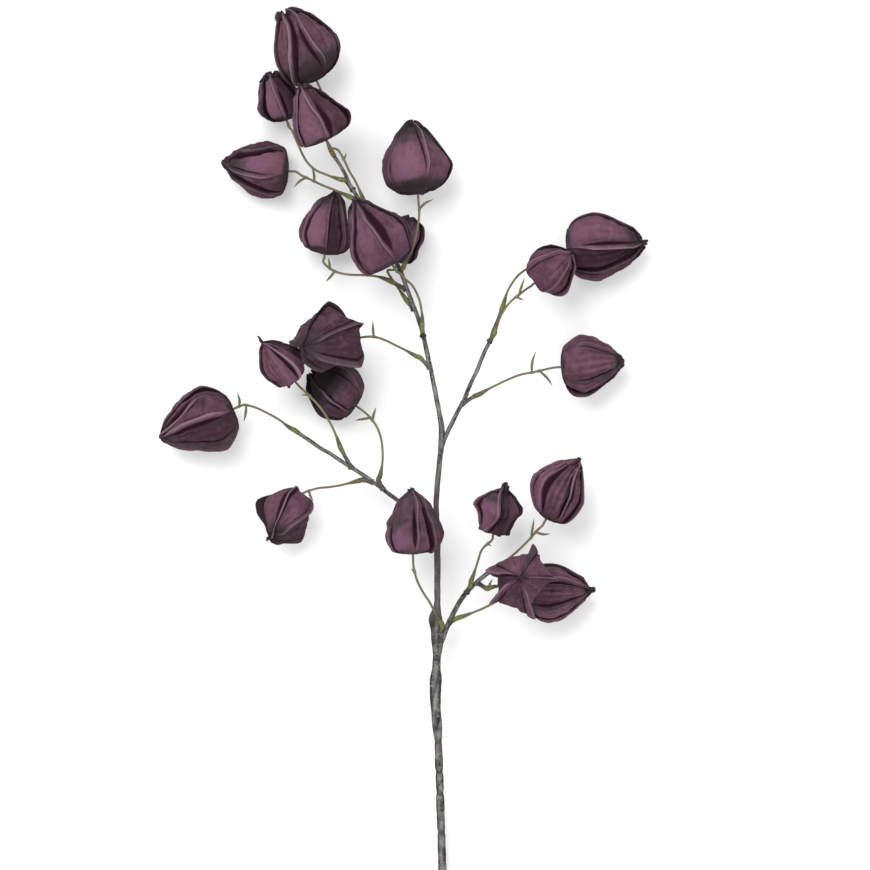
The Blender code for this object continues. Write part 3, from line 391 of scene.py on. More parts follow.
# number: its lantern's; carrier: the taped piece that it grows from
# root, stub: the taped stub's two ends, or None where the twig sits on the carrier's own end
# via: the twig's route from there; bracts: (start x, y, tip x, y, rise of the tip)
TWIGS = [
    Twig(1, "main_stem", None, None,
         [(-59, 268, 44.5), (-63, 279, 43), (-64.5, 293.5, 42), (-65, 305.5, 44), (-66, 313.5, 47)],
         [(-65.5, 312, -62.5, 308, 2)]),
    Twig(2, "main_stem", (-40, 233.5, 45), (-45, 240, 42),
         [(-49.5, 242, 40.5), (-56, 244, 38.5), (-62.5, 246.5, 36.5), (-71, 250.5, 34),
          (-78.5, 258.5, 31.5), (-84, 270, 29), (-89, 281.5, 27.5)],
         [(-91, 286, -93.5, 288.5, 1)]),
    Twig(3, "main_stem", (-29, 216, 46), (-30.5, 221, 50),
         [(-33.5, 230, 54), (-38, 240, 56), (-43, 248.5, 58), (-47, 257, 60), (-52, 265, 63)],
         [(-47, 257.5, -45.5, 263, 1)]),
    Twig(4, "main_stem", (-33.5, 223, 45.5), (-39.5, 226.5, 42.5),
         [(-46.5, 230, 38.5), (-55, 234, 34), (-65, 238, 29), (-73, 242, 25), (-81.5, 246, 21.5)],
         [(-77.5, 244, -88, 236, 1), (-72, 241.5, -73.5, 252.5, -1)]),
    Twig(5, "main_stem", (-2.5, 168, 49.5), (-0.5, 170.5, 53),
         [(2, 176, 55.5), (6.5, 184.5, 55.5), (10, 195, 53.5), (12, 205.5, 51.5), (13, 216, 49.5),
          (12.5, 223, 48)],
         [(13, 217.5, 25, 226, 2)]),
    Twig(6, "main_stem", (2, 154, 50), (-7, 159, 47),
         [(-12, 161.5, 45), (-19, 164, 42), (-29.5, 165.5, 38), (-42.5, 166, 35), (-53, 168, 32.5),
          (-60, 172, 31.5)],
         [(-54.5, 168.5, -62.5, 160, -1), (-58.5, 171, -60, 180, 2)]),
    Twig(7, "main_stem", (16, 116.5, 49.5), (15.5, 120.5, 53),
         [(15.5, 128, 55), (15, 136, 57), (13, 145.5, 60), (8, 156, 65), (1.5, 162, 70), (-3, 167, 75)],
         []),
    Twig(8, "main_stem", (8.5, 138, 50), (5, 142.5, 47),
         [(0, 149.5, 43), (-5.5, 157.5, 38), (-10, 164, 33), (-12.5, 169.5, 28)],
         []),
    Twig(9, "branch_right", None, None,
         [(80.5, 142, 50.5), (83.5, 152, 48.5), (88, 160, 46), (93.5, 166.5, 42), (101.5, 172, 35),
          (113.5, 179, 29)],
         []),
    Twig(10, "branch_right", (69, 112, 53), (72, 116.5, 55.5),
         [(74, 123, 57), (77, 130, 57), (81, 137.5, 55.5), (86, 144, 53.5), (92, 149, 51),
          (98.5, 154, 48)],
         [(93, 150, 97.5, 164, 2), (91, 148, 97, 145.5, -1)]),
    Twig(11, "branch_right", (47, 62, 48.5), (56.5, 68, 47.5),
         [(61, 70, 46.5), (68, 74, 45), (76, 78, 42.5), (85.5, 82.5, 39.5), (95, 86, 36),
          (105.5, 88, 32.5), (116, 90.5, 30)],
         [(104, 88, 107, 105.5, 2), (109.5, 89, 120, 76.5, -2)]),
    Twig(12, "main_stem", (21.5, 91, 48.5), (15.5, 97.5, 50),
         [(10.5, 100.5, 49.5), (2.5, 105, 47.5), (-5.5, 109, 44.5), (-13.5, 113, 41.5),
          (-22.5, 116, 39), (-31, 116, 39.5)],
         [(-23, 117, -24, 129.5, 2)]),
    Twig(13, "branch_lower_left", (-41.5, 11, 35), (-48.5, 24, 41),
         [(-51, 29.5, 43.5), (-54, 38, 47), (-59, 48.5, 51), (-65.5, 58.5, 53), (-73.5, 67.5, 53),
          (-81, 74.5, 52.5)],
         [(-75, 68.5, -81.5, 69, 1)]),
    Twig(14, "branch_lower_left", (-16, -6.5, 33.5), (-19, -0.5, 34.5),
         [(-18.5, 4.5, 35.5), (-16.5, 16, 36), (-16.5, 25.5, 35), (-18, 36, 33.5), (-22, 45.5, 31.5),
          (-28.5, 53.5, 29.5)],
         [(-24, 48.5, -21.5, 60, 2), (-26.5, 50.5, -39, 49, -1)]),
    Twig(15, "branch_lower_left", None, None,
         [(-86, 40.5, 35), (-92, 44, 34), (-100, 50, 33), (-109, 55, 32), (-118.5, 59.5, 31),
          (-126.5, 61.5, 30.5)],
         [(-126.5, 61, -128, 48, -2), (-132, 61.5, -133.5, 72, 3)]),
    Twig(16, "branch_lower_left", (-24, -0.5, 34), (-30.5, 1, 34.5),
         [(-34.5, 1, 34), (-42.5, -1, 31.5), (-50.5, -3, 28), (-60, -4.5, 23.5), (-69, -5.5, 18.5)],
         [(-75, -9, -72, -16, 2)]),
    Twig(17, "main_stem", (28, -126.5, 33.5), (31, -117, 40),
         [(29, -110.5, 43.5), (25, -103.5, 47), (21, -96, 50), (15.5, -87.5, 53.5), (11, -78, 56.5),
          (8.5, -68, 59)],
         [(9, -71.5, 6.5, -69, 1)]),
    Twig(18, "branch_lower_right", (51, -89, 36), (53.5, -84, 39.5),
         [(54.5, -80, 41), (57, -73, 42), (60, -63.5, 41), (63.5, -54, 38.5)],
         [(67, -47.5, 71, -51.5, 1)]),
    Twig(19, "branch_lower_right", None, None,
         [(75, -68, 37), (81.5, -64, 37.5), (89, -58, 38.5), (95, -52.5, 39.5), (101.5, -46, 41),
          (108, -38.5, 42.5)],
         [(103, -44.5, 105, -29, 3), (107.5, -40.5, 118.5, -41.5, -1)]),
    Twig(20, "branch_lower_right", (37, -113, 34.5), (41.5, -110.5, 37.5),
         [(46.5, -108.5, 38.5), (54.5, -105.5, 40), (63, -102, 41.5), (72, -97.5, 43), (81, -92, 44.5),
          (90, -85.5, 47.5)],
         []),
    Twig(21, "branch_lower_right", (59.5, -81, 37), (65, -84.5, 35),
         [(70, -85, 33.5), (75, -84, 31.5), (81, -84, 29), (88, -87, 27)],
         [(68, -84.5, 72, -77.5, 1)]),
]


# ---------------------------------------------------------------- the taped pieces' sizes

TAPE_STEP = 2.0
TAPE_PITCH = 7.5      # between the turns of the tape
STUB_RADIUS = 1.6
STUB_STEP = 1.0
STUB_SIDES = 14
STUB_FLARE = (1.3, 2.2)  # how much wider it is at its root, and over what length that goes
STUB_ROUND = 0.1      # how far its end is drawn in
STUB_RING = (0.25, 3, 1.5)  # how dark its ring is, where along it, and how long
WIRE_RADIUS = 0.55
WIRE_COUNT = 3
WIRE_TURN = 0.4       # radians that the wires are turned round the stem's middle
WIRE_SIDES = 10
WIRE_ENDS = (2, 0, -0.6)  # from inside the tape to the cut, along the stem
WIRE_MARKS = (0, 0, 0, 0.5)

# Centre lines, from root to end
STEM_ROUTE = [
    (32.5, -378, 2.7), (32.5, -362.5, 2.7), (32, -338.5, 6), (31.5, -310.5, 10.5), (31, -294.5, 13),
    (30.5, -280, 15), (30, -264, 17), (29.5, -248, 19), (29, -231.5, 21), (28.5, -218.5, 22.5),
    (28, -206.5, 24), (27, -192, 26), (26, -178.5, 27.5), (26, -166.5, 29), (26.5, -154.5, 30),
    (27, -142.5, 31.5), (27.5, -133, 33), (27.5, -120, 34), (27.5, -104, 36), (27.5, -82.5, 38),
    (27.5, -58.5, 39.5), (27, -38.5, 40.5), (26.5, -18.5, 41.5), (27.5, -2.5, 42.5), (29, 13.5, 43),
    (30.5, 27, 44), (31, 40, 45), (30, 49.5, 46), (27, 65.5, 47), (24, 81.5, 48), (20.5, 97.5, 49),
    (17, 113.5, 49.5), (13, 128.5, 50), (7, 144, 50), (1.5, 159, 50), (-3, 171, 49.5), (-10.5, 184, 48.5),
    (-19, 198, 47), (-28, 214, 46), (-36, 227, 45.5), (-43, 239, 45), (-48, 249.5, 45), (-55, 260.5, 45),
]
RIGHT_ROUTE = [
    (31, 27, 44), (33, 33.5, 45), (36.5, 41.5, 46), (40.5, 49.5, 47), (44.5, 57.5, 48), (49, 65.5, 49),
    (52, 73.5, 50), (55.5, 81.5, 51), (59.5, 89.5, 52), (62.5, 97.5, 52.5), (66, 105.5, 53),
    (70, 113.5, 53), (72.5, 121.5, 53), (76, 129.5, 52.5), (78.5, 136.5, 52),
]
LOWER_LEFT_ROUTE = [
    (27, -38, 40.5), (21.5, -33, 39.5), (13.5, -27.5, 37.5), (5.5, -22, 35.5), (-3, -16, 34),
    (-10.5, -10.5, 33.5), (-18.5, -4.5, 33.5), (-26.5, 1.5, 34), (-34.5, 7, 34.5), (-42.5, 12, 35),
    (-50.5, 17, 35.5), (-58.5, 22.5, 36), (-66.5, 27, 36), (-75, 33, 36), (-84, 39, 35.5),
]
LOWER_RIGHT_ROUTE = [
    (28.5, -134.5, 32.5), (31.5, -126.5, 33.5), (34.5, -118.5, 34), (38, -110.5, 34.5), (42, -102.5, 35),
    (46.5, -94.5, 35.5), (52, -87.5, 36), (57, -82.5, 36.5), (61.5, -78.5, 37), (66.5, -74.5, 37),
    (72, -70.5, 37),
]

# Radius as (distance from the root, radius), with pinched rings, a twisted thick part and a knot low
# on the main stem
STEM_GIRTH = [
    (0, 3.0), (97, 3.0), (100, 2.4), (103, 3.0), (129, 3.0), (132, 2.4), (135, 3.0), (146, 3.0),
    (149, 2.4), (152, 3.0), (171, 2.9), (174, 2.3), (178, 3.1), (192, 4.0), (208, 3.7), (222, 4.0),
    (231, 3.1), (240, 3.0), (249, 4.3), (257, 4.7), (265, 4.4), (274, 3.0), (318, 2.9), (343, 2.8),
    (352, 2.3), (402, 2.2), (412, 2.6), (424, 2.4), (436, 1.9), (560, 1.7), (700, 1.3),
]
Taped = namedtuple("Taped", "route girth sides roughness")
MAIN = "main_stem"
TAPED = {
    MAIN: Taped(STEM_ROUTE, STEM_GIRTH, 24, 0.3),
    "branch_right": Taped(RIGHT_ROUTE, [(0, 1.8), (60, 1.7), (130, 1.5)], 16, 0.16),
    "branch_lower_left": Taped(LOWER_LEFT_ROUTE, [(0, 1.7), (80, 1.6), (160, 1.5)], 16, 0.16),
    "branch_lower_right": Taped(LOWER_RIGHT_ROUTE, [(0, 2.2), (40, 2.0), (90, 1.6)], 16, 0.16),
}
# The winding's unevenness: its share of the roughness, and how close it is round and along the piece
WINDING = ((1, 1.3, 0.12), (0.5, 2, 0.45))
# How full the finished stem is, over that radius
STEM_FULLNESS = [
    (0, 1.08), (180, 1.08), (192, 1.1), (272, 1.08), (283, 0.84), (305, 0.84), (340, 0.97), (400, 1),
]
TWISTED = (184, 234)  # where two wires are wound together, as distances along the main stem
TWIST_PITCH = 96
TWIST_DEPTH = 0.13
TWIST_EASE = (10, 8)  # how far in from each end the strands are full
KNOT = 268            # where the tape is knotted, with a lump on its left
KNOT_LUMP = 3.4
KNOT_SPAN = (3, 7)    # how far past the knot the lump's middle is, and how long it is
# These two place the painted shade of the groove beside the lump
KNOT_GROOVE = (0.9, 0.22)  # radians from its left to the groove beside the lump, and its width
GROOVE_SPAN = (KNOT - 2, 10)
PLUM_START = (KNOT - 6, KNOT + 4)  # from where the tape has a plum cast, and up to where
PLUM_END = (KNOT + 90, KNOT + 150)
LEFTWARD = math.pi / 2
JOINT_SHIFT = 3       # the ring joints are this much nearer the cut end
SHIFT_END = (180, 200)  # and this is where that shift runs out
# Dark rings on the main stem: the distance, how dark, and over what length
RING_JOINTS = (
    (97, 1, 1.4), (129, 1, 1.4), (146, 1, 1.4), (171, 1, 1.4), (TWISTED[0] - 3, 0.6, 2),
    (TWISTED[1] + 4, 0.8, 1.2), (TWISTED[1] + 18, 0.8, 1.2), (TWISTED[1] + 27, 0.8, 1.2))


# ---------------------------------------------------------------- the floor, light and camera

FLOOR_SIZE = 8
FLOOR_DROP = 0.0004   # in metres, so that no face of the floor lies in one of the spray's
LIGHT_TARGET = Vector((0, 0.05, 0.03))
ROOM_LIGHT = 1.0      # the white all round
# The lamps: place and size in metres, and watts
LAMPS = {"key": ((-0.85, 1.35, 3.2), 1.8, 76), "fill": ((0.9, -0.9, 3.4), 2.6, 22)}
CAMERA_PLACE = (0.0256, 0.0374, 5.85)
CAMERA_LENS = 300     # lens and sensor in millimetres
CAMERA_SENSOR = 36
CAMERA_REACH = 100    # the farthest that it sees, in metres


# ---------------------------------------------------------------- colours, as linear red, green, blue

PLUM_SHADE = (0.039, 0.0195, 0.028)
PLUM_LIGHT = (0.152, 0.071, 0.098)
PLUM_BLOOM = (0.130, 0.067, 0.112)
# The spray's charcoal, which also paints shade at the base and on dark flaps
SPRAY_HAZE = (0.058, 0.042, 0.050)
SPRAY_DARK = (0.0285, 0.0205, 0.0235)
SPRAY_BLACK = (0.011, 0.008, 0.009)
CREASE_SHADE = (0.0175, 0.0050, 0.0100)
# Painted highlight on the flaps' edges
PAINTED_EDGE_HIGHLIGHT = (0.240, 0.165, 0.200)
TAPE_SHADE = (0.018, 0.017, 0.015)
TAPE_LIGHT = (0.225, 0.216, 0.200)
TAPE_FLECK = (0.26, 0.255, 0.24)
TAPE_PLUM = (0.085, 0.062, 0.067)
TAPE_LAP = (0.022, 0.021, 0.020)
# Dark joints, and painted shade in the stem's grooves
JOINT_AND_GROOVE_SHADE = (0.012, 0.011, 0.0105)
OLIVE_SHADE = (0.055, 0.053, 0.030)
OLIVE_LIGHT = (0.190, 0.180, 0.108)
OLIVE_RUST = (0.160, 0.098, 0.068)
SLEEVE_SHADE = (0.050, 0.046, 0.024)
SLEEVE_LIGHT = (0.128, 0.124, 0.052)
SLEEVE_SPECK = (0.022, 0.018, 0.013)
COLLAR_LIME = (0.20, 0.20, 0.055)
BRACT_GREEN = (0.125, 0.130, 0.058)
WIRE_SHADE = (0.22, 0.21, 0.20)
WIRE_LIGHT = (0.42, 0.41, 0.40)
FLOOR_SHADE = (0.86, 0.86, 0.855)
FLOOR_LIGHT = (0.89, 0.89, 0.885)


# ---------------------------------------------------------------- finishes

class Value:
    """A shader value; arithmetic on it adds Math nodes."""

    def __init__(self, finish, socket):
        self.finish = finish
        self.socket = socket

    def maths(self, operation, *others):
        values = dict(enumerate((self, *others)))
        return self.finish.node("Math", {"operation": operation}, values)

    def __add__(self, other):
        return self.maths("ADD", other)

    def __sub__(self, other):
        return self.maths("SUBTRACT", other)

    def __mul__(self, other):
        return self.maths("MULTIPLY", other)

    def __truediv__(self, other):
        return self.maths("DIVIDE", other)

    def __rsub__(self, other):
        return self.finish.node("Math", {"operation": "SUBTRACT"}, {0: other, 1: self})

    __radd__ = __add__
    __rmul__ = __mul__

    def swung(self, amount):
        """Noise from 0 to 1, made to swing by half this amount to either side of 0."""
        return amount * (self - 0.5)

    def clamped(self):
        return self.finish.node("Clamp", {}, {"Value": self})

    def eased(self, low, high):
        """0 below low, 1 above high, and smooth between; low may be above high."""
        settings = {"interpolation_type": "SMOOTHSTEP"}
        sockets = {"Value": self, "From Min": low, "From Max": high, "To Min": 0.0, "To Max": 1.0}
        return self.finish.node("MapRange", settings, sockets)


class Finish:
    """One material, built node by node."""

    def __init__(self, name, **constants):
        self.material = bpy.data.materials.new(name)
        self.material.use_nodes = True
        self.tree = self.material.node_tree
        self.shader = self.tree.nodes["Principled BSDF"]
        for socket, value in constants.items():
            self.shader.inputs[socket.replace("_", " ")].default_value = value

    def join(self, socket, value):
        if isinstance(value, Value):
            self.tree.links.new(value.socket, socket)
        else:
            socket.default_value = value

    def node(self, kind, settings, sockets, out=0):
        made = self.tree.nodes.new("ShaderNode" + kind)
        for key, value in settings.items():
            setattr(made, key, value)
        for key, value in sockets.items():
            self.join(made.inputs[key], value)
        return Value(self, made.outputs[out])

    def mixed(self, first, second, share):
        """A colour between two."""
        first, second = (c if isinstance(c, Value) else (*c, 1) for c in (first, second))
        return self.node("Mix", {"data_type": "RGBA"}, {0: share, 6: first, 7: second}, 2)

    def blotches(self, size_mm, detail=3.0, stretch=None):
        """Smooth noise from 0 to 1 with features of about this size, in every direction alike.

        With a stretch it is noise on the flat coordinates instead, so many times finer each way.
        """
        place = self.node("TexCoord", {}, {}, "UV" if stretch else "Object")
        if stretch:
            place = self.node("Mapping", {}, {"Vector": place, "Scale": stretch})
        scale = (1.0 if stretch else 1000.0) / size_mm
        return self.node("TexNoise", {}, {"Vector": place, "Scale": scale, "Detail": detail})

    def marks(self):
        """The four numbers that were painted on the piece's surface."""
        colour = self.node("Attribute", {"attribute_name": "marks"}, {}, "Color")
        alpha = self.node("Attribute", {"attribute_name": "marks"}, {}, "Alpha")
        parts = [self.node("SeparateColor", {}, {0: colour}, part) for part in ("Red", "Green", "Blue")]
        return (*parts, alpha)

    def flat_place(self):
        """The piece's own flat coordinates, round it and along it."""
        place = self.node("TexCoord", {}, {}, "UV")
        return [self.node("SeparateXYZ", {}, {0: place}, part) for part in ("X", "Y")]

    def show(self, colour, roughness, height=None, distance=0.0002, strength=1.0):
        self.join(self.shader.inputs["Base Color"], colour)
        self.join(self.shader.inputs["Roughness"], roughness)
        if height:
            sockets = {"Height": height, "Distance": distance, "Strength": strength}
            self.join(self.shader.inputs["Normal"], self.node("Bump", {}, sockets))
        return self.material


def plum_cloth():
    """Stiffened plum cloth, sprayed darker at the flaps, the base and the tips, which is partly painted
    shade; with painted shade in its creases, a painted highlight along the flaps' edges, and painted light
    and shade over its panels.
    """
    look = Finish("plum_cloth", Specular_IOR_Level=0.04, Sheen_Weight=0.03, Sheen_Roughness=0.5,
                  Sheen_Tint=(0.7, 0.4, 0.55, 1))
    crease, edge, soot, shade = look.marks()
    wide = look.blotches(19, 2.0)
    patches = look.blotches(9)
    mottles = look.blotches(3.6, 2.0)
    fine = look.blotches(1.5, 4.0)
    fibres = look.blotches(1.0, 3.0, (1.6, 0.22, 1.0))
    # The painted light and shade of the panels and flaps, over random tone
    light = shade + wide.swung(0.45) + patches.swung(0.6) + fibres.swung(0.6) + mottles.swung(0.6)
    light = light.clamped()
    colour = look.mixed(PLUM_SHADE, PLUM_LIGHT, light)
    colour = look.mixed(colour, PLUM_BLOOM, light * wide.eased(0.45, 0.7) * 0.8)
    # The spray, partly painted shade at the base and on dark flaps
    noisy_spray_and_shade = soot + fine.swung(0.3) + patches.swung(1.3) * soot.eased(0.0, 0.3) + fibres.swung(0.4)
    noisy_spray_and_shade = noisy_spray_and_shade.clamped()
    colour = look.mixed(colour, SPRAY_HAZE, noisy_spray_and_shade.eased(0.05, 0.75) * 0.85)
    colour = look.mixed(colour, SPRAY_DARK, noisy_spray_and_shade.eased(0.3, 1.0) * 0.9)
    colour = look.mixed(colour, SPRAY_BLACK, soot.eased(1.0, 1.6))
    colour = look.mixed(colour, CREASE_SHADE, crease.eased(0.12, 0.75) * 0.95)
    # Painted highlight along the flaps' edges, fainter where they are sprayed
    edge_highlight = edge.eased(0.15, 1.0) * (0.3 + 0.8 * fine + 0.4 * mottles).clamped() * 0.85
    colour = look.mixed(colour, PAINTED_EDGE_HIGHLIGHT, edge_highlight)
    around, along = look.flat_place()
    weave = (around * 9.0).maths("SINE") * (along * 9.0).maths("SINE")
    crumple = (look.blotches(3.2, 2.0, (1.0, 0.5, 1.0)) - 0.5).maths("ABSOLUTE")
    height = 0.25 * weave + 1.2 * fibres + 0.5 * fine + 9.0 * crumple
    return look.show(colour, 0.8 + 0.12 * fine, height, 0.00016, 0.7)


def grey_tape():
    """Stretched paper tape wound round the wire: painted shade on its flanks and painted light on top, pale
    flecks, dark ring joints, and painted shade in its grooves.
    """
    look = Finish("grey_tape", Specular_IOR_Level=0.2)
    joints_and_groove_shade, plum, _, painted_top_light = look.marks()
    around, along = look.flat_place()
    clouds = look.blotches(9.0)
    fine = look.blotches(1.6, 4.0)
    wrinkles = look.blotches(1.0, 4.0, (26.0, 0.45, 1.0))
    flecks = look.blotches(1.0, 2.0, (7.0, 0.45, 1.0)).eased(0.57, 0.7)
    streaks = look.blotches(1.0, 2.0, (5.0, 0.07, 1.0))
    wound = (along / TAPE_PITCH + around + 0.5 * clouds).maths("FRACT")
    lap = wound.eased(0.0, 0.10) * wound.eased(1.0, 0.97)
    # Painted light on the upper side and painted shade on the flanks, over random tone
    light = 0.75 * painted_top_light.eased(0.5, 0.98) - 0.32 + clouds.swung(0.8) + wrinkles.swung(0.8)
    light = light + fine.swung(0.9) + streaks.swung(2.4)
    colour = look.mixed(TAPE_SHADE, TAPE_LIGHT, light.clamped())
    # The flecks and the plum cast show more on the upper side, as painted light
    colour = look.mixed(colour, TAPE_FLECK, flecks * (0.2 + 0.8 * painted_top_light) * 0.8)
    colour = look.mixed(colour, TAPE_PLUM, plum * (0.3 + 0.7 * painted_top_light) * 0.75)
    colour = look.mixed(TAPE_LAP, colour, (0.35 + 0.9 * fine + 0.4 * lap).clamped())
    # Dark ring joints, and painted shade in the grooves
    colour = look.mixed(colour, JOINT_AND_GROOVE_SHADE, joints_and_groove_shade * 0.9)
    height = 0.6 * lap + 0.9 * wrinkles + 0.6 * fine + 0.4 * flecks
    return look.show(colour, 0.86 - 0.1 * flecks, height, 0.0004, 0.9)


def olive_plastic():
    """Moulded olive plastic, browner in places, with a dark mottled sleeve and a lime collar, and painted
    light on its upper side that leaves its underside in painted shade.
    """
    look = Finish("olive_plastic", Specular_IOR_Level=0.3)
    sleeve, leaf, rust, painted_top_light = look.marks()
    clouds = look.blotches(14.0)
    fine = look.blotches(1.2)
    grain = look.blotches(1.0, 3.0, (9.0, 0.3, 1.0))
    specks = look.blotches(1.1, 2.0).eased(0.50, 0.64)
    # Painted light on the upper side and painted shade below, over random tone
    light = (0.1 + 0.55 * painted_top_light.eased(0.4, 1.0) + clouds.swung(0.9) + fine.swung(0.5)).clamped()
    colour = look.mixed(OLIVE_SHADE, OLIVE_LIGHT, light)
    colour = look.mixed(colour, OLIVE_RUST, (rust * (0.4 + clouds)).clamped() * 0.7)
    flesh = look.mixed(SLEEVE_SHADE, SLEEVE_LIGHT, light)
    mottled = look.mixed(flesh, SLEEVE_SPECK, (specks * 0.9).clamped())
    colour = look.mixed(colour, mottled, sleeve.eased(0.05, 0.5) * 0.95)
    colour = look.mixed(colour, COLLAR_LIME, sleeve.eased(0.96, 1.0) * fine.eased(0.4, 0.6) * 0.8)
    colour = look.mixed(colour, BRACT_GREEN, leaf * 0.7)
    height = 0.8 * grain + 0.5 * fine + 0.8 * sleeve * specks
    return look.show(colour, 0.55 + 0.2 * fine, height, 0.0002, 0.8)


def cut_wire():
    look = Finish("cut_wire", Metallic=1.0)
    grain = look.blotches(0.4, 2.0)
    return look.show(look.mixed(WIRE_SHADE, WIRE_LIGHT, grain), 0.35 + 0.2 * grain)


def pale_paint():
    look = Finish("pale_floor")
    return look.show(look.mixed(FLOOR_SHADE, FLOOR_LIGHT, look.blotches(60, 2.0)), 0.9)


CLOTH = plum_cloth()
TAPE = grey_tape()
PLASTIC = olive_plastic()
WIRE = cut_wire()


# ---------------------------------------------------------------- numbers and directions

def blend(table, at):
    """The value at a place in a table of (place, value), with straight runs between."""
    for (low, start), (high, end) in zip(table, table[1:]):
        if at <= high:
            return start + (end - start) * max(0, at - low) / (high - low)
    return table[-1][1]


def eased(value, low, high):
    """0 at low, 1 at high, and smooth between; low may be above high."""
    share = min(1, max(0, (value - low) / (high - low)))
    return share * share * (3 - 2 * share)


def swell(value, middle, width):
    return math.exp(-((value - middle) / width) ** 2)


def held(value, most):
    """The value, kept from -most to most."""
    return max(-most, min(most, value))


def drawn(dice, ranges):
    return [dice.uniform(low, high) for low, high in ranges]


def ray(angle, top, right):
    """The direction that lies so many radians round from one cross direction towards another."""
    return math.cos(angle) * top + math.sin(angle) * right


def on_floor(point):
    """The point, or the one over it where it would be under the floor."""
    return Vector((point.x, point.y, max(point.z, 0.0)))


def smooth_route(points, step):
    """Points about a step apart on a smooth curve through the given ones, and their distances."""
    points = [Vector(p) for p in points]
    padded = [2 * points[0] - points[1]] + points + [2 * points[-1] - points[-2]]
    fine = []
    for before, start, end, after in zip(padded, padded[1:], padded[2:], padded[3:]):
        parts = max(2, math.ceil((end - start).length / CURVE_STEP))
        for part in range(parts):
            t = part / parts
            fine.append(0.5 * (2 * start + (end - before) * t
                               + (2 * before - 5 * start + 4 * end - after) * t * t
                               + (3 * start - before - 3 * end + after) * t ** 3))
    fine.append(points[-1])
    lengths = [0.0]
    for one, two in zip(fine, fine[1:]):
        lengths.append(lengths[-1] + (two - one).length)
    count = max(2, round(lengths[-1] / step))
    distances = [lengths[-1] * number / count for number in range(count + 1)]
    route = []
    place = 0
    for distance in distances:
        while place < len(fine) - 2 and lengths[place + 1] < distance:
            place += 1
        share = (distance - lengths[place]) / (lengths[place + 1] - lengths[place])
        route.append(fine[place].lerp(fine[place + 1], min(1, share)))
    return route, distances


def crossings(route):
    """Two cross directions at each point of a route, turned as little as possible along it."""
    pairs = []
    down = -UP
    for number in range(len(route)):
        before = route[max(0, number - 1)]
        after = route[min(len(route) - 1, number + 1)]
        tangent = (after - before).normalized()
        down = (down - tangent * down.dot(tangent)).normalized()
        pairs.append((down, tangent.cross(down)))
    return pairs


# ---------------------------------------------------------------- meshes

def new_shape():
    shape = bmesh.new()
    shape.verts.layers.float_color.new("marks")
    shape.loops.layers.uv.new("flat")
    return shape


def wrap(shape, around, along, place, flat, material=0):
    """Adds a closed skin: a grid wrapped round an axis, with a pole at both ends.

    place(i, j) gives the point in millimetres and its marks, for i round the axis and j along it.
    flat(i, j) gives the flat coordinates there, and i may be one full turn.
    """
    marks = shape.verts.layers.float_color["marks"]
    uvs = shape.loops.layers.uv["flat"]
    made = bmesh.ops.create_grid(shape, x_segments=around, y_segments=along, size=1)["verts"]
    turns = {}
    for vert in made:
        turns[vert] = (round((vert.co.x + 1) / 2 * around), round((vert.co.y + 1) / 2 * along))
    faces = {face for vert in made for face in vert.link_faces}
    for face in faces:
        face.smooth = True
        face.material_index = material
        for loop in face.loops:
            loop[uvs].uv = flat(*turns[loop.vert])
    for vert, (i, j) in turns.items():
        point, mark = place(i % around, j)
        vert.co = point * MM
        vert[marks] = mark
    bmesh.ops.remove_doubles(shape, verts=made, dist=POLE_MERGE)


def tube(shape, route, distances, sides, reach, mark):
    """A closed tube; reach(angle, distance) is its radius and mark(angle, distance) its marks."""
    pairs = crossings(route)
    last = len(route) - 1

    def place(i, j):
        station = min(max(j - 1, 0), last)
        distance = distances[station]
        if j in (0, last + 2):
            return route[station], (*mark(0, distance), 0.5)
        angle = math.tau * i / sides
        out = ray(angle, *pairs[station])
        point = route[station] + reach(angle, distance) * out
        # The fourth mark is the painted light from above.
        return on_floor(point), (*mark(angle, distance), painted_top_light(out))

    def flat(i, j):
        return i / sides, distances[min(max(j - 1, 0), last)]

    wrap(shape, sides, last + 2, place, flat)


def painted_top_light(out):
    """1 on the side that faces up, and 0 on the one that faces down, as painted light from above that
    leaves the sides in painted shade.
    """
    return 0.5 + 0.5 * out.z


def in_scene(name, data):
    """Puts a mesh, a light or a camera in the scene."""
    made = bpy.data.objects.new(name, data)
    bpy.context.scene.collection.objects.link(made)
    return made


def as_object(name, shape, materials):
    """Turns a shape into an object of the scene."""
    mesh = bpy.data.meshes.new(name)
    shape.to_mesh(mesh)
    shape.free()
    for material in materials:
        mesh.materials.append(material)
    return in_scene(name, mesh)


def finished(shape, name, node, materials):
    """Makes a shape the piece that stands for a solid of the part."""
    bmesh.ops.recalc_face_normals(shape, faces=shape.faces)
    if shape.calc_volume(signed=True) < 0:
        bmesh.ops.reverse_faces(shape, faces=shape.faces)
    piece = as_object(name, shape, materials)
    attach(piece, "root")
    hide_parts(node)


# ---------------------------------------------------------------- lanterns

def axes_of(row):
    """A lantern's axis, the cross direction that faces up, and the one to its right."""
    axis = (Vector(row.tip) - Vector(row.base)).normalized()
    top = (UP - axis * UP.dot(axis)).normalized()
    return axis, top, axis.cross(top)


def notch_of(row):
    """How far its panels end short of its flaps at the tip."""
    return NOTCH * min(1, FINS[row.number] / FULL_FIN)


def spray_and_shade_at(number, rise):
    """How dark a lantern's spray is, so far up from its base; near the base it is partly painted shade."""
    start = TIP_SPRAY.get(number, TIP_SPRAY_USUAL)
    high, dark = BASE_SPRAY_AND_SHADE.get(number, BASE_SPRAY_AND_SHADE_USUAL)
    at_tip = DARKENED.get(number, 1) * eased(rise, start, start + SPRAY_START)
    return max(at_tip, dark * (1 - eased(rise, 0.4 * high, 1.2 * high)))


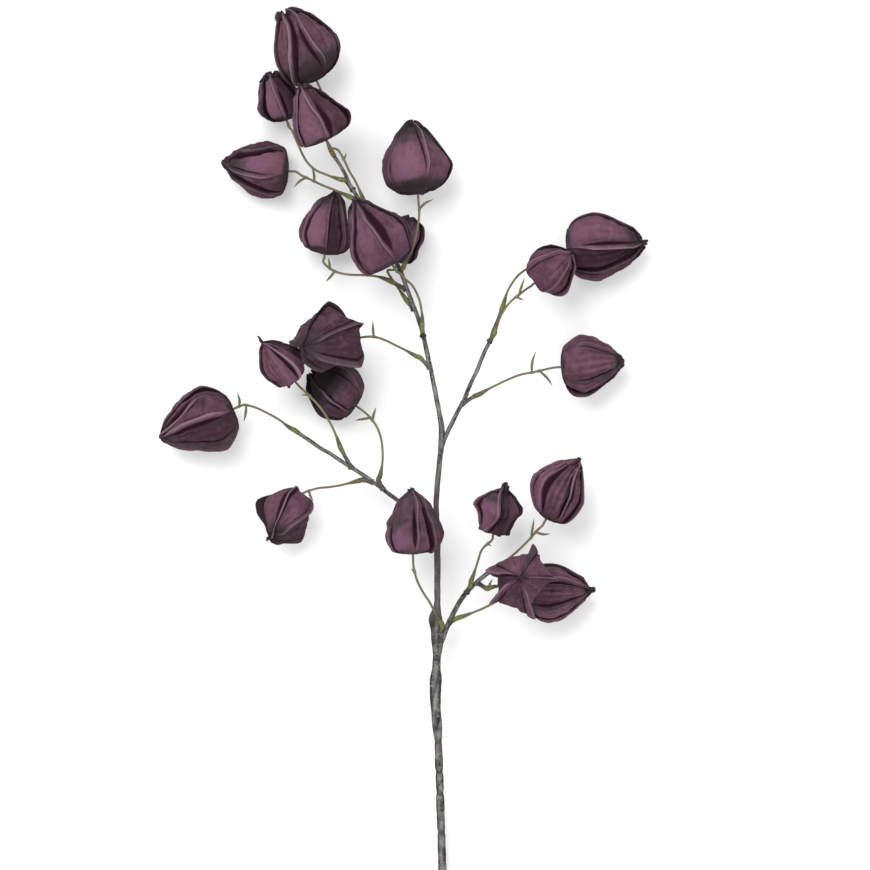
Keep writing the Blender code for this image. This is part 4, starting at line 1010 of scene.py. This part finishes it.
def pulled(row, place, rise, reach):
    """A point of the cloth, moved sideways to where its lantern's own outline runs."""
    table = OUTLINES.get(row.number, ((0, 0, 0, 0),))
    right = axes_of(row)[2]
    aside = held((place - Vector(row.base)).dot(right) / max(2, reach), 1)
    heights = [rise + blur for blur in (-OUTLINE_BLUR, 0, OUTLINE_BLUR)]
    left_edge, middle, right_edge = (
        sum(blend([(step[0], step[column]) for step in table], height) for height in heights) / 3
        for column in (1, 2, 3))
    edge = right_edge if aside > 0 else left_edge
    return place + (middle * (1 - abs(aside)) + aside * edge) * right


def folds_of(row, dice):
    """One fold for each seam: its own, or a drawn one where the lantern turns away."""
    folds = []
    for angle in row.seams:
        way = dice.choice((-1, 1))
        lean, width, slit, soot, shade, opens, closes = drawn(dice, FOLD_RANGES)
        chance = Fold(way * lean, width, slit, soot, shade, 0, (opens, closes))
        folds.append(FOLDS[row.number].get(angle, chance))
    return folds


Flap = namedtuple("Flap", "lean tall depth before after grown gape")
# tall: how far it stands out; depth: of the dips beside it; before, after: how wide those are
# grown: how much of its fold has opened here; gape: how far its crease has


class Ring:
    """The cloth round a lantern at one height.

    Each seam has the dip before it, its flap, the dip after it, and the panel up to the next dip.
    """

    def __init__(self, row, folds, sways, creases, reach, rise):
        self.row = row
        self.folds = folds
        self.sways = sways
        self.creases = creases
        self.reach = reach
        self.rise = rise
        self.axis, self.top, self.right = axes_of(row)
        self.starry = row.belly < STARRY
        length = (Vector(row.tip) - Vector(row.base)).length
        bent = math.sin(math.pi * min(1, rise))
        self.centre = Vector(row.base) + self.axis * rise * length + self.right * row.bow * bent
        low_turn = (1 - min(1, rise)) ** 3
        self.seams = []
        for angle in row.seams:
            turned, bowed = VEERS.get(row.number, {}).get(angle, (0, 0))
            self.seams.append(math.radians((angle + turned * low_turn + bowed * bent) % 360))
        self.pulls = row.pulls or [1] * len(self.seams)
        self.outs = [ray(seam, self.top, self.right) for seam in self.seams]
        self.feet = [reach * pull * out for pull, out in zip(self.pulls, self.outs)]
        nexts = self.feet[1:] + self.feet[:1]
        self.widths = [max(0.01, (after - foot).length) for foot, after in zip(self.feet, nexts)]
        # The spray here, partly painted shade near the base
        self.spray = spray_and_shade_at(row.number, rise)
        self.notch = notch_of(row) * eased(rise, *NOTCH_START)
        self.fade = eased(reach, *FULL_CLOTH)

    def dent(self, place, across):
        """How far the cloth stands out, for its slow waves and its wrinkles."""
        number = self.row.number
        shift = Vector((number * NOISE_STEP[0], number * NOISE_STEP[1], 0))
        dent = sum(high * noise.noise(place * close + shift) for high, close in WAVES)
        for deep, often, close, way in WRINKLES:
            dent += deep * (often - abs(noise.noise(across * close + way * shift)))
        return dent

    def crease_at(self, k, share):
        """How deep the small creases of a panel are, on their dark side and on their light one."""
        dark = light = 0.0
        for crease in self.creases[k]:
            gap = self.widths[k] * (share - crease.spot - crease.drift * (1 - self.rise))
            near = crease.depth * swell(gap, 0, CREASE_IN if gap < 0 else CREASE_OUT)
            begun = eased(self.rise, crease.start, crease.start + CREASE_START)
            near *= begun * (1 - eased(self.rise, *CREASE_END))
            if gap < 0:
                dark = max(dark, near)
            else:
                light = max(light, near)
        return dark, light

    def panel_point(self, k, share, sunk=0.0):
        """A point on the panel after a seam, sunk by so much, and the painted light and shade of the cloth
        there.
        """
        number = self.row.number
        fold = self.folds[k]
        after = (k + 1) % len(self.seams)
        chord = self.feet[k].lerp(self.feet[after], share)
        panel = (self.seams[after] - self.seams[k]) % math.tau
        out = ray(self.seams[k] + panel * share, self.top, self.right)
        arc = self.reach * (self.pulls[k] + (self.pulls[after] - self.pulls[k]) * share) * out
        belly = BELLIES.get(number, {}).get(self.row.seams[k], self.row.belly)
        place = chord + belly * (arc - chord)
        across = self.centre + place
        across -= WRINKLE_STRETCH * self.axis * self.axis.dot(across)
        middle = math.sin(math.pi * share)
        rise = self.rise
        hollow = fold.sag * middle ** SAG_POWER * eased(rise, *SAG_START) * (1 - eased(rise, *SAG_END))
        pleats = PLEATED.get(number, 0)
        drift = PLEAT_DRIFT[0] * math.sin(PLEAT_DRIFT[1] * rise + number)
        wave = math.sin(math.tau * PLEAT_COUNT * share + drift)
        pleated = eased(rise, *PLEAT_START)
        dark, light = self.crease_at(k, share)
        dent = self.dent(place, across) + pleats * wave * pleated * middle + max(dark, light)
        scallop = SCALLOP * (middle ** 0.6 - 0.5 + 0.8 * noise.noise(across * 0.1))
        scallop *= 1 - eased(rise, *SCALLOP_END)
        # Painted light and shade: lighter in the panel's middle, striped light and dark with the pleats,
        # darker on a small crease's steep side and lighter on its gentle one
        shade = fold.shade * (0.35 + 0.65 * middle ** 0.7) + 0.5 * pleats * wave * pleated
        lift = (scallop * self.fade - self.notch) * self.axis
        surface = self.centre + place + (dent * self.fade - hollow - sunk) * out + lift
        return surface, shade - 0.3 * dark + 0.15 * light

    def flap(self, k):
        """How a seam's flap lies here: its fold grows where it opens and may end short of the tip."""
        fold = self.folds[k]
        sway = self.sways[k]
        rise = self.rise
        opens, closes = fold.open
        grown = eased(rise, opens - FOLD_START[0], opens + FOLD_START[1])
        ended = 1 - FOLD_LEFT
        kept = 1 - ended * eased(rise, closes, closes + FOLD_END) if closes < SHORT_FOLD else 1
        kept *= 1 - ended * eased(rise, opens, opens - FOLD_START[0]) if opens >= LATE_FOLD else 1
        width = fold.width * (0.25 + 0.75 * grown) * (0.92 + 0.12 * math.sin(7 * rise + sway.phase))
        width *= kept
        along = min(1, max(0, (rise - opens) / (closes - opens)))
        gape = math.sin(math.pi * along ** 0.8) ** 0.7 if 0 < along < 1 else 0
        depth = (0.35 + (0.4 + fold.slit) * gape) * grown * (0.4 if self.starry else 1)
        room = DIP_SHARE * min(self.widths[k], self.widths[k - 1])
        lean = math.radians(fold.lean + FLAP_SWAY * math.sin(math.tau * sway.rate * rise + sway.phase))
        laid = min(width, max(0.3, room / (FLAP_COVER * max(0.2, abs(math.sin(lean))))))
        free = width * FINS[self.row.number] * (1 if self.starry else eased(rise, *FIN_START))
        width = max(laid, free)
        middle, spread, size = EARS.get(self.row.number, {}).get(self.row.seams[k], (0, 1, 0))
        width += size * swell(rise, middle, spread)
        lean = held(lean, math.asin(min(1, room / (FLAP_COVER * width))))
        slit = min(room, SLIT_GAIN * fold.slit * (0.15 + 0.85 * gape))
        under = max(slit, FLAP_COVER * width * abs(math.sin(lean)))
        before, after = (slit, under) if lean >= 0 else (under, slit)
        return Flap(lean, width, depth * min(1, room / 3), before, after, grown * kept, gape)

    def dip_point(self, k, flap, panel, share):
        """A point of the dip beside a flap; share is 0 at the flap and 1 at the dip's lip."""
        ahead = panel == k
        wide = flap.after if ahead else flap.before
        distance = wide * share / self.widths[panel]
        steep = (flap.lean < 0) == ahead
        sunk = 1 - eased(share, 0.4 if steep else 0.45, 1)
        place, shade = self.panel_point(panel, distance if ahead else 1 - distance, flap.depth * sunk)
        # Painted shade down in the dip, and the flap's spray and painted shade spread onto it
        dark = 0.3 + 0.7 * flap.gape if steep else 0.75
        crease = max(-shade, sunk * dark * min(1, 0.3 + flap.depth))
        soot = max(self.spray, self.folds[k].soot * 0.9 * math.exp(-share * wide / 2.2))
        return place, (crease, 0, soot, max(0, shade))

    def flap_points(self, k, flap):
        """Up one side of a flap, over its edge, and down the other."""
        fold = self.folds[k]
        out = self.outs[k]
        side = ray(self.seams[k] + math.pi / 2, self.top, self.right)
        root = self.centre + self.feet[k] - flap.depth * out - self.notch * self.axis
        thick = FLAP_HALF * min(1, 0.35 + self.reach / 6)
        # How strong the painted highlight on its edge is
        edge_highlight = (1 - 0.8 * fold.soot) * (0.35 + 0.65 * flap.grown)
        paler = max(fold.shade, self.folds[k - 1].shade)
        trimmed = min(1, FINS[self.row.number] / 0.5)
        points = []
        for climb, across, light in FLAP:
            lean = flap.lean * (0.8 + 0.35 * climb)
            place = root + climb * flap.tall * ray(lean, out, side) + across * thick * ray(lean, side, -out)
            ragged = noise.noise(Vector((7 * climb, 5 * k, self.row.number)))
            cut = (self.sways[k].kink - TIP_SLANT * climb ** 2 + 1.5 * ragged) * climb
            cut *= eased(self.rise, *SLANT_START)
            place += (trimmed * cut + self.notch * eased(climb, 0.1, 0.6)) * self.axis
            outer = across * flap.lean <= 0
            # Painted shade down into the slit and the groove between the layers, and painted light over the
            # flap, brightest at its edge and on pale flaps
            dark = min(0.85, 0.25 + 0.18 * max(0, flap.depth - 1.5)) if outer else 0.6
            crease = (1 - eased(climb, max(0, dark - 0.5), dark)) * min(1, 0.3 + flap.depth)
            shade = 0.28 + 0.3 * light + 0.35 * paler + max(0, -fold.soot)
            bright = max(light * edge_highlight, -2 * fold.soot * eased(climb, 0.1, 0.5))
            soot = max(self.spray, fold.soot)
            points.append((place, (crease if across else 0.75, bright, soot, max(0, shade))))
        return points

    def points(self):
        """Points right round the skin, and their marks."""
        flaps = [self.flap(k) for k in range(len(self.folds))]
        points = []
        for k, flap in enumerate(flaps):
            for number in range(DIP_POINTS):
                points.append(self.dip_point(k, flap, k - 1, 1 - number / DIP_POINTS))
            points += self.flap_points(k, flap)
            for number in range(1, DIP_POINTS + 1):
                points.append(self.dip_point(k, flap, k, number / DIP_POINTS))
            low = flap.after / self.widths[k]
            high = 1 - flaps[(k + 1) % len(flaps)].before / self.widths[k]
            for number in range(1, PANEL_POINTS + 1):
                share = low + (high - low) * number / (PANEL_POINTS + 1)
                # A panel below 0 takes painted shade in the crease mark
                place, shade = self.panel_point(k, share)
                points.append((place, (max(0, -shade), 0, self.spray, max(0, shade))))
        return points


def heights_of(row, length):
    """The rings from the base's rim to the tip: each one's radius, and its share of the length."""
    taper = TAPER.get(row.number, TAPER_POWER)
    lift = BASE_DOME / length
    heights = []
    for number in range(CORNER_RINGS + 1):
        turn = math.pi / 2 * number / CORNER_RINGS
        filled = row.corner * math.sin(turn) + (1 - row.corner) * (1 - math.cos(turn))
        rise = row.shoulder * (1 - math.cos(turn))
        heights.append((row.flat + (1 - row.flat) * filled, rise + lift * (1 - rise / row.shoulder)))
    for number in range(1, UPPER_RINGS):
        share = 1 - (1 - number / UPPER_RINGS) ** UPPER_CROWDING
        reach = (1 - share ** taper) ** TAPER_ROUND
        blunt = TIP_BLUNT / row.radius * eased(share, 0.45, 0.9) * math.sqrt(1 - share ** 14)
        heights.append((reach + blunt, row.shoulder + (1 - row.shoulder) * share))
    waist = WAISTS.get(row.number, ((0, 1),))
    return [(row.radius * reach * blend(waist, rise), rise) for reach, rise in heights]


def base_rings(row, rim):
    """The rings of the hole for the twig and of the drawn-in base, out to its rim."""
    axis = axes_of(row)[0]
    base = Vector(row.base)
    ways = []
    for place in rim:
        way = place - base
        ways.append((way - axis * way.dot(axis)).normalized())
    rings = []
    for reach, depth in ENTRY_STEPS:
        rings.append([(base + reach * way + depth * axis, ENTRY_MARKS) for way in ways])
    panel = len(rim) / len(row.seams)
    for share in BASE_SHARES:
        ring = []
        for number, (place, way) in enumerate(zip(rim, ways)):
            inner = base + (ENTRY_RADIUS + ENTRY_LIP) * way
            gather = GATHER_DEPTH * math.sin(math.tau * GATHERS * number / panel)
            gather *= math.sin(math.pi * share)
            raised = DIMPLE * (1 - share ** 2) * eased(share, 0.0, 0.3) + gather
            raised -= BASE_DOME * (share - share ** 2)
            # The base is sprayed dark, partly as painted shade, with painted shade round the hole
            ring.append((inner.lerp(place, share) + raised * axis, (0.15 * (1 - share), 0.0, 0.75, 0.3)))
        rings.append(ring)
    return rings


def lantern(row):
    """Cloth panels between folded double seams, a drawn-in base round the twig, and a tufted tip."""
    axis = axes_of(row)[0]
    length = (Vector(row.tip) - Vector(row.base)).length
    dice = random.Random(SEED + row.number)
    folds = folds_of(row, dice)
    sways = [Sway(*drawn(dice, SWAY_RANGES)) for _ in folds]
    creases = [[Crease(*drawn(dice, CREASE_RANGES)) for _ in range(CREASES)] for _ in folds]
    heights = heights_of(row, length)
    skins = []
    for reach, rise in heights:
        points = Ring(row, folds, sways, creases, reach, rise).points()
        skins.append([(pulled(row, place, rise, reach), mark) for place, mark in points])
    around = len(skins[0])
    below = base_rings(row, [place for place, _ in skins[0]])
    point = pulled(row, Vector(row.tip) - notch_of(row) * axis, 1, 0)
    rings = below + skins + [[(point, TIP_MARKS)] * around]
    breadth = math.tau * row.radius / around

    def place(i, j):
        spot, mark = rings[j][i]
        return on_floor(spot), mark

    def flat(i, j):
        if j < len(below):
            return i * breadth, 1.2 * (j - len(below))
        return i * breadth, heights[min(j - len(below), len(heights) - 1)][1] * length

    shape = new_shape()
    wrap(shape, around, len(rings) - 1, place, flat)
    if row.number in TUFTS:
        long, wide = TUFTS[row.number]
        for fold, angle in zip(folds, row.seams):
            size = (long * dice.uniform(*TUFT_LONG), wide * dice.uniform(*TUFT_WIDE))
            tuft(shape, row, math.radians(angle), fold, size, dice)
    for angle in HEELS.get(row.number, ()):
        heel(shape, row, math.radians(angle), dice)
    finished(shape, "lantern_cloth_%02d" % row.number, "lantern_%02d" % row.number, [CLOTH])


def tuft(shape, row, angle, fold, size, dice):
    """The free end of a flap at the tip: a short blunt blade with a ragged end."""
    axis, top, right = axes_of(row)
    out = ray(angle, top, right)
    side = ray(angle + math.pi / 2, top, right)
    wide_way = ray(math.radians(TUFT_LEAN * fold.lean), out, side)
    start = Vector(row.tip) - TUFT_ROOT * axis + wide_way
    end = Vector(row.tip) + size[0] * axis + dice.uniform(*TUFT_OUT) * wide_way
    start, end = (pulled(row, spot, 1, TUFT_REACH) for spot in (start, end))
    blade(shape, start, end, wide_way, size[1], dice)


def heel(shape, row, angle, dice):
    """The free end of a flap at the base, where its corner is pulled out."""
    axis, top, right = axes_of(row)
    out = ray(angle, top, right)
    rim = Vector(row.base) + row.flat * row.radius * out + BASE_DOME * axis
    start, end = (rim + over * axis + aside * out for over, aside in (HEEL_ROOT, HEEL_END))
    blade(shape, start, end, out, HEEL_WIDTH, dice)


def blade(shape, start, end, wide_way, width, dice):
    """A small flat flap of cloth, rounded at its end and a little ragged."""
    way = (end - start).normalized()
    thin_way = way.cross(wide_way).normalized()
    phase = dice.uniform(0, math.tau)
    clean, edge, soot, shade = BLADE_MARKS

    def place(i, j):
        share = j / BLADE_STATIONS
        full = math.sqrt(max(0.0, 1 - max(0.0, (share - BLADE_ROUND) / (1 - BLADE_ROUND)) ** 4))
        full *= 0.6 + 0.4 * eased(share, 0.0, 0.4) if j else 0
        turn = math.tau * i / BLADE_SIDES
        ragged = BLADE_RAGGED * math.cos(3 * turn + phase) * way * share
        shift = full * (width * math.cos(turn) * wide_way + BLADE_HALF * math.sin(turn) * thin_way)
        point = start.lerp(end, share) + shift
        if 0 < j < BLADE_STATIONS:
            point += ragged
        # Painted highlight along the blade's edges
        return on_floor(point), (clean, edge * abs(math.cos(turn)), soot, shade)

    wrap(shape, BLADE_SIDES, BLADE_STATIONS, place, lambda i, j: (i * BLADE_WEAVE, 80 + j * BLADE_WEAVE))


# ---------------------------------------------------------------- taped wire

def strands(angle, distance):
    """From 0 to 1 on the two strands of the wound part, and -1 to 0 in the grooves between them."""
    start, end = TWISTED
    wound = eased(distance, start, start + TWIST_EASE[0]) * (1 - eased(distance, end - TWIST_EASE[1], end))
    return wound * math.cos(2 * (angle - math.tau * distance / TWIST_PITCH))


def stem_reach(name, angle, distance):
    """Radius of a taped piece, with the unevenness of its winding."""
    taped = TAPED[name]
    if name == MAIN:
        distance += JOINT_SHIFT * (1 - eased(distance, *SHIFT_END))
    radius = blend(taped.girth, distance)
    for share, close, dense in WINDING:
        spot = Vector((close * math.cos(angle), close * math.sin(angle), distance * dense))
        radius += share * taped.roughness * noise.noise(spot)
    if name != MAIN:
        return radius
    radius *= blend(STEM_FULLNESS, distance)
    radius *= 1 + TWIST_DEPTH * strands(angle, distance)
    past, long = KNOT_SPAN
    return radius + KNOT_LUMP * swell(distance, KNOT + past, long) * max(0, math.cos(angle - LEFTWARD)) ** 2


def stem_mark(name, angle, distance):
    """How dark a joint is here, with painted shade in the grooves between the twisted strands and beside
    the knot's lump, and how plum the tape; only the main stem has these.
    """
    if name != MAIN:
        return 0.0, 0.0, 0.0
    joints_and_groove_shade = max(dark * swell(distance, place, long) for place, dark, long in RING_JOINTS)
    # Painted shade in the grooves between the strands and beside the lump
    joints_and_groove_shade = max(joints_and_groove_shade, 0.8 * max(0, -strands(angle, distance)) ** 4)
    groove = swell(distance, *GROOVE_SPAN) * swell(angle - LEFTWARD, *KNOT_GROOVE)
    plum = eased(distance, *PLUM_START) * (1 - eased(distance, *PLUM_END))
    return max(joints_and_groove_shade, 0.8 * groove), plum, 0.0


def taped_piece(name):
    """A wire wound with tape, and the short stubs for the twigs."""
    taped = TAPED[name]
    shape = new_shape()
    route, distances = smooth_route(taped.route, TAPE_STEP)
    tube(shape, route, distances, taped.sides, partial(stem_reach, name), partial(stem_mark, name))
    for row in TWIGS:
        if row.carrier == name and row.root:
            stub(shape, row)
    if name == MAIN:
        wire_ends(shape, Vector(taped.route[0]))
    finished(shape, name + "_tape", name, [TAPE, WIRE] if name == MAIN else [TAPE])


def stub(shape, row):
    """The taped stub that a twig's sleeve is pushed over, flared at its root."""
    middle = Vector(row.root).lerp(Vector(row.stub), 0.5)
    route, distances = smooth_route([row.root, middle, row.stub], STUB_STEP)
    end = distances[-1]
    flare, fade = STUB_FLARE

    def reach(angle, distance):
        widened = STUB_RADIUS + flare * math.exp(-distance / fade)
        return widened - STUB_ROUND * eased(distance, end - 1, end)

    def mark(angle, distance):
        dark, middle, long = STUB_RING
        return dark * swell(distance, middle, long), 0, 0

    tube(shape, route, distances, STUB_SIDES, reach, mark)


def wire_ends(shape, start):
    """The wires inside the stem, which show at its cut end."""
    last = len(WIRE_ENDS) + 1
    for number in range(WIRE_COUNT):
        turn = math.tau * number / WIRE_COUNT + WIRE_TURN
        middle = start + Vector((math.cos(turn), 0, math.sin(turn)))
        ends = [middle + Vector((0, y, 0)) for y in WIRE_ENDS]

        def place(i, j, ends=ends):
            if j in (0, last):
                return ends[0 if j == 0 else -1], WIRE_MARKS
            angle = math.tau * i / WIRE_SIDES
            return ends[j - 1] + WIRE_RADIUS * Vector((math.cos(angle), 0, math.sin(angle))), WIRE_MARKS

        wrap(shape, WIRE_SIDES, last, place, lambda i, j: (i, j), 1)


# ---------------------------------------------------------------- twigs

def twig_route(row, lantern_row):
    """From its stub, along the given points, and straight into its lantern's base."""
    if row.root:
        end = Vector(row.stub)
        way = (end - Vector(row.root)).normalized()
    else:
        route, _ = smooth_route(TAPED[row.carrier].route, CARRIER_STEP)
        end = route[-1]
        way = (route[-1] - route[-2]).normalized()
    axis = axes_of(lantern_row)[0]
    base = Vector(lantern_row.base)
    start = end + END_GAP * way
    points = [start, start + STRAIGHT_START * way] + [Vector(p) for p in row.via]
    points += [base - STRAIGHT_END * axis, base - 0.4 * STRAIGHT_END * axis, base + INSERTED * axis]
    return points, way


def twig(row, lantern_row):
    """A moulded twig: its sleeve over the stub, the thin stalk with its joints, and the bracts."""
    dice = random.Random(SEED * TWIG_SEED + row.number)
    points, way = twig_route(row, lantern_row)
    route, distances = smooth_route(points, TWIG_STEP)
    pairs = crossings(route)
    last = len(route) - 1
    roots = []
    for x, y, *_ in row.bracts:
        roots.append(min(range(len(route)), key=lambda k: math.hypot(route[k].x - x, route[k].y - y)))
    first, least, clear = RUST_CLEAR
    rusts = [dice.uniform(first, max(least, distances[-1] - clear)) for _ in range(RUST_SPOTS)]
    brown = row.number in BROWN_SLEEVES
    teeth = dice.uniform(0, math.tau)

    def reach(angle, distance):
        radius = TWIG_RADIUS
        if distance < SLEEVE_LENGTH:
            share = distance / SLEEVE_LENGTH
            radius = blend(((0, COLLAR_RADIUS), (0.3, SLEEVE_RADIUS), (1, TWIG_RADIUS)), share)
            radius += SLEEVE_RIBS * math.cos(3 * angle + teeth) * (1 - share)
        for root in roots:
            radius += JOINT_SWELL[0] * swell(distance, distances[root], JOINT_SWELL[1])
        uneven = Vector((math.cos(angle), math.sin(angle) + row.number, distance * 0.2))
        return radius + TWIG_ROUGHNESS * noise.noise(uneven)

    def mark(distance):
        """How much of the sleeve is here, how much of a leaf, and how rusty it is."""
        rust = max(swell(distance, place, RUST_SPREAD) for place in rusts)
        if brown:
            rust = max(rust, 1 - eased(distance, *BROWN_END))
        return (1 - eased(distance, *SLEEVE_FADE)) * (BROWN_LEFT if brown else 1), 0.0, rust

    def mouth(angle, j):
        """The toothed edge of the collar: the stub's end, the bore, and the edge's two rims."""
        out = ray(angle, *pairs[0])
        jagged = SLEEVE_OVERLAP * (0.55 + 0.45 * math.cos(2.0 * angle + teeth) * math.sin(3.0 * angle))
        radius = (0, SLEEVE_BORE, SLEEVE_BORE + COLLAR_EDGE, COLLAR_RADIUS)[j]
        back = (0, 0, 1, 0.96)[j]
        return route[0] + radius * out - jagged * way * back, (*mark(0), painted_top_light(out))

    def place(i, j):
        angle = math.tau * i / TWIG_SIDES
        if j < 4:
            return mouth(angle, j)
        station = min(j - 4, last)
        distance = distances[station]
        if j == last + 5:
            return route[-1], (*mark(distance), 0.5)
        out = ray(angle, *pairs[station])
        return route[station] + reach(angle, distance) * out, (*mark(distance), painted_top_light(out))

    def flat(i, j):
        return i / TWIG_SIDES * GRAIN_TURNS, distances[min(max(j - 4, 0), last)] - max(0, 4 - j)

    shape = new_shape()
    wrap(shape, TWIG_SIDES, last + 5, place, flat)
    for root, (_, _, tip_x, tip_y, rise) in zip(roots, row.bracts):
        bract(shape, route[root], Vector((tip_x, tip_y, route[root].z + rise)), dice)
    finished(shape, "twig_moulding_%02d" % row.number, "twig_%02d" % row.number, [PLASTIC])


def bract(shape, root, tip, dice):
    """A small pointed leaf scale, folded along its middle and curled at its tip."""
    length = (tip - root).length
    way = (tip - root).normalized()
    side = way.cross(UP).normalized()
    top = side.cross(way)
    bend = dice.uniform(-BRACT_BEND, BRACT_BEND) * length
    least, growth, most = BRACT_HALF
    wide = min(most, least + growth * length)

    def place(i, j):
        share = j / BRACT_STATIONS
        inside = 0 < j < BRACT_STATIONS
        half = wide * math.sin(math.pi * min(1, 0.12 + 0.88 * share) ** 0.85) ** 0.9 if inside else 0
        arched = math.sin(math.pi * share)
        middle = (root - BRACT_ROOT * way).lerp(tip, share)
        middle += top * BRACT_ARCH * length * arched + side * bend * arched
        turn = math.tau * i / BRACT_SIDES
        across = half * math.cos(turn)
        height = BRACT_THICK * math.sin(turn) * (half > 0) + BRACT_FOLD * abs(across)
        return middle + across * side + height * top, (0.0, 1.0, 0.5 * share, 0.5)

    wrap(shape, BRACT_SIDES, BRACT_STATIONS, place, lambda i, j: (i * 0.5, j * length / BRACT_STATIONS))


# ---------------------------------------------------------------- the spray, the floor, light and camera

def spray():
    lantern_rows = {row.number: row for row in LANTERNS}
    for row in LANTERNS:
        lantern(row)
    for name in TAPED:
        taped_piece(name)
    for row in TWIGS:
        twig(row, lantern_rows[row.number])


def pale_floor():
    shape = bmesh.new()
    bmesh.ops.create_grid(shape, x_segments=2, y_segments=2, size=FLOOR_SIZE)
    bmesh.ops.translate(shape, verts=shape.verts, vec=(0, 0, -FLOOR_DROP))
    as_object("pale_floor", shape, [pale_paint()])


def lamp(name, place, size, watts):
    """A square soft lamp that faces the middle of the spray."""
    data = bpy.data.lights.new(name, "AREA")
    data.shape = "SQUARE"
    data.size = size
    data.energy = watts
    light = in_scene(name, data)
    light.location = place
    light.rotation_euler = (LIGHT_TARGET - Vector(place)).to_track_quat("-Z", "Y").to_euler()
    light.visible_camera = False


def studio():
    world = bpy.data.worlds.new("studio")
    bpy.context.scene.world = world
    world.use_nodes = True
    room = world.node_tree.nodes["Background"]
    room.inputs["Color"].default_value = (1, 1, 1, 1)
    room.inputs["Strength"].default_value = ROOM_LIGHT
    for name, (place, size, watts) in LAMPS.items():
        lamp(name, place, size, watts)
    bpy.context.scene.view_settings.view_transform = "Standard"


def camera():
    """Looks straight down on the spray from far off."""
    data = bpy.data.cameras.new("camera")
    data.sensor_width = CAMERA_SENSOR
    data.lens = CAMERA_LENS
    data.clip_end = CAMERA_REACH
    seen = in_scene("camera", data)
    seen.location = CAMERA_PLACE
    bpy.context.scene.camera = seen


spray()
pale_floor()
studio()
camera()
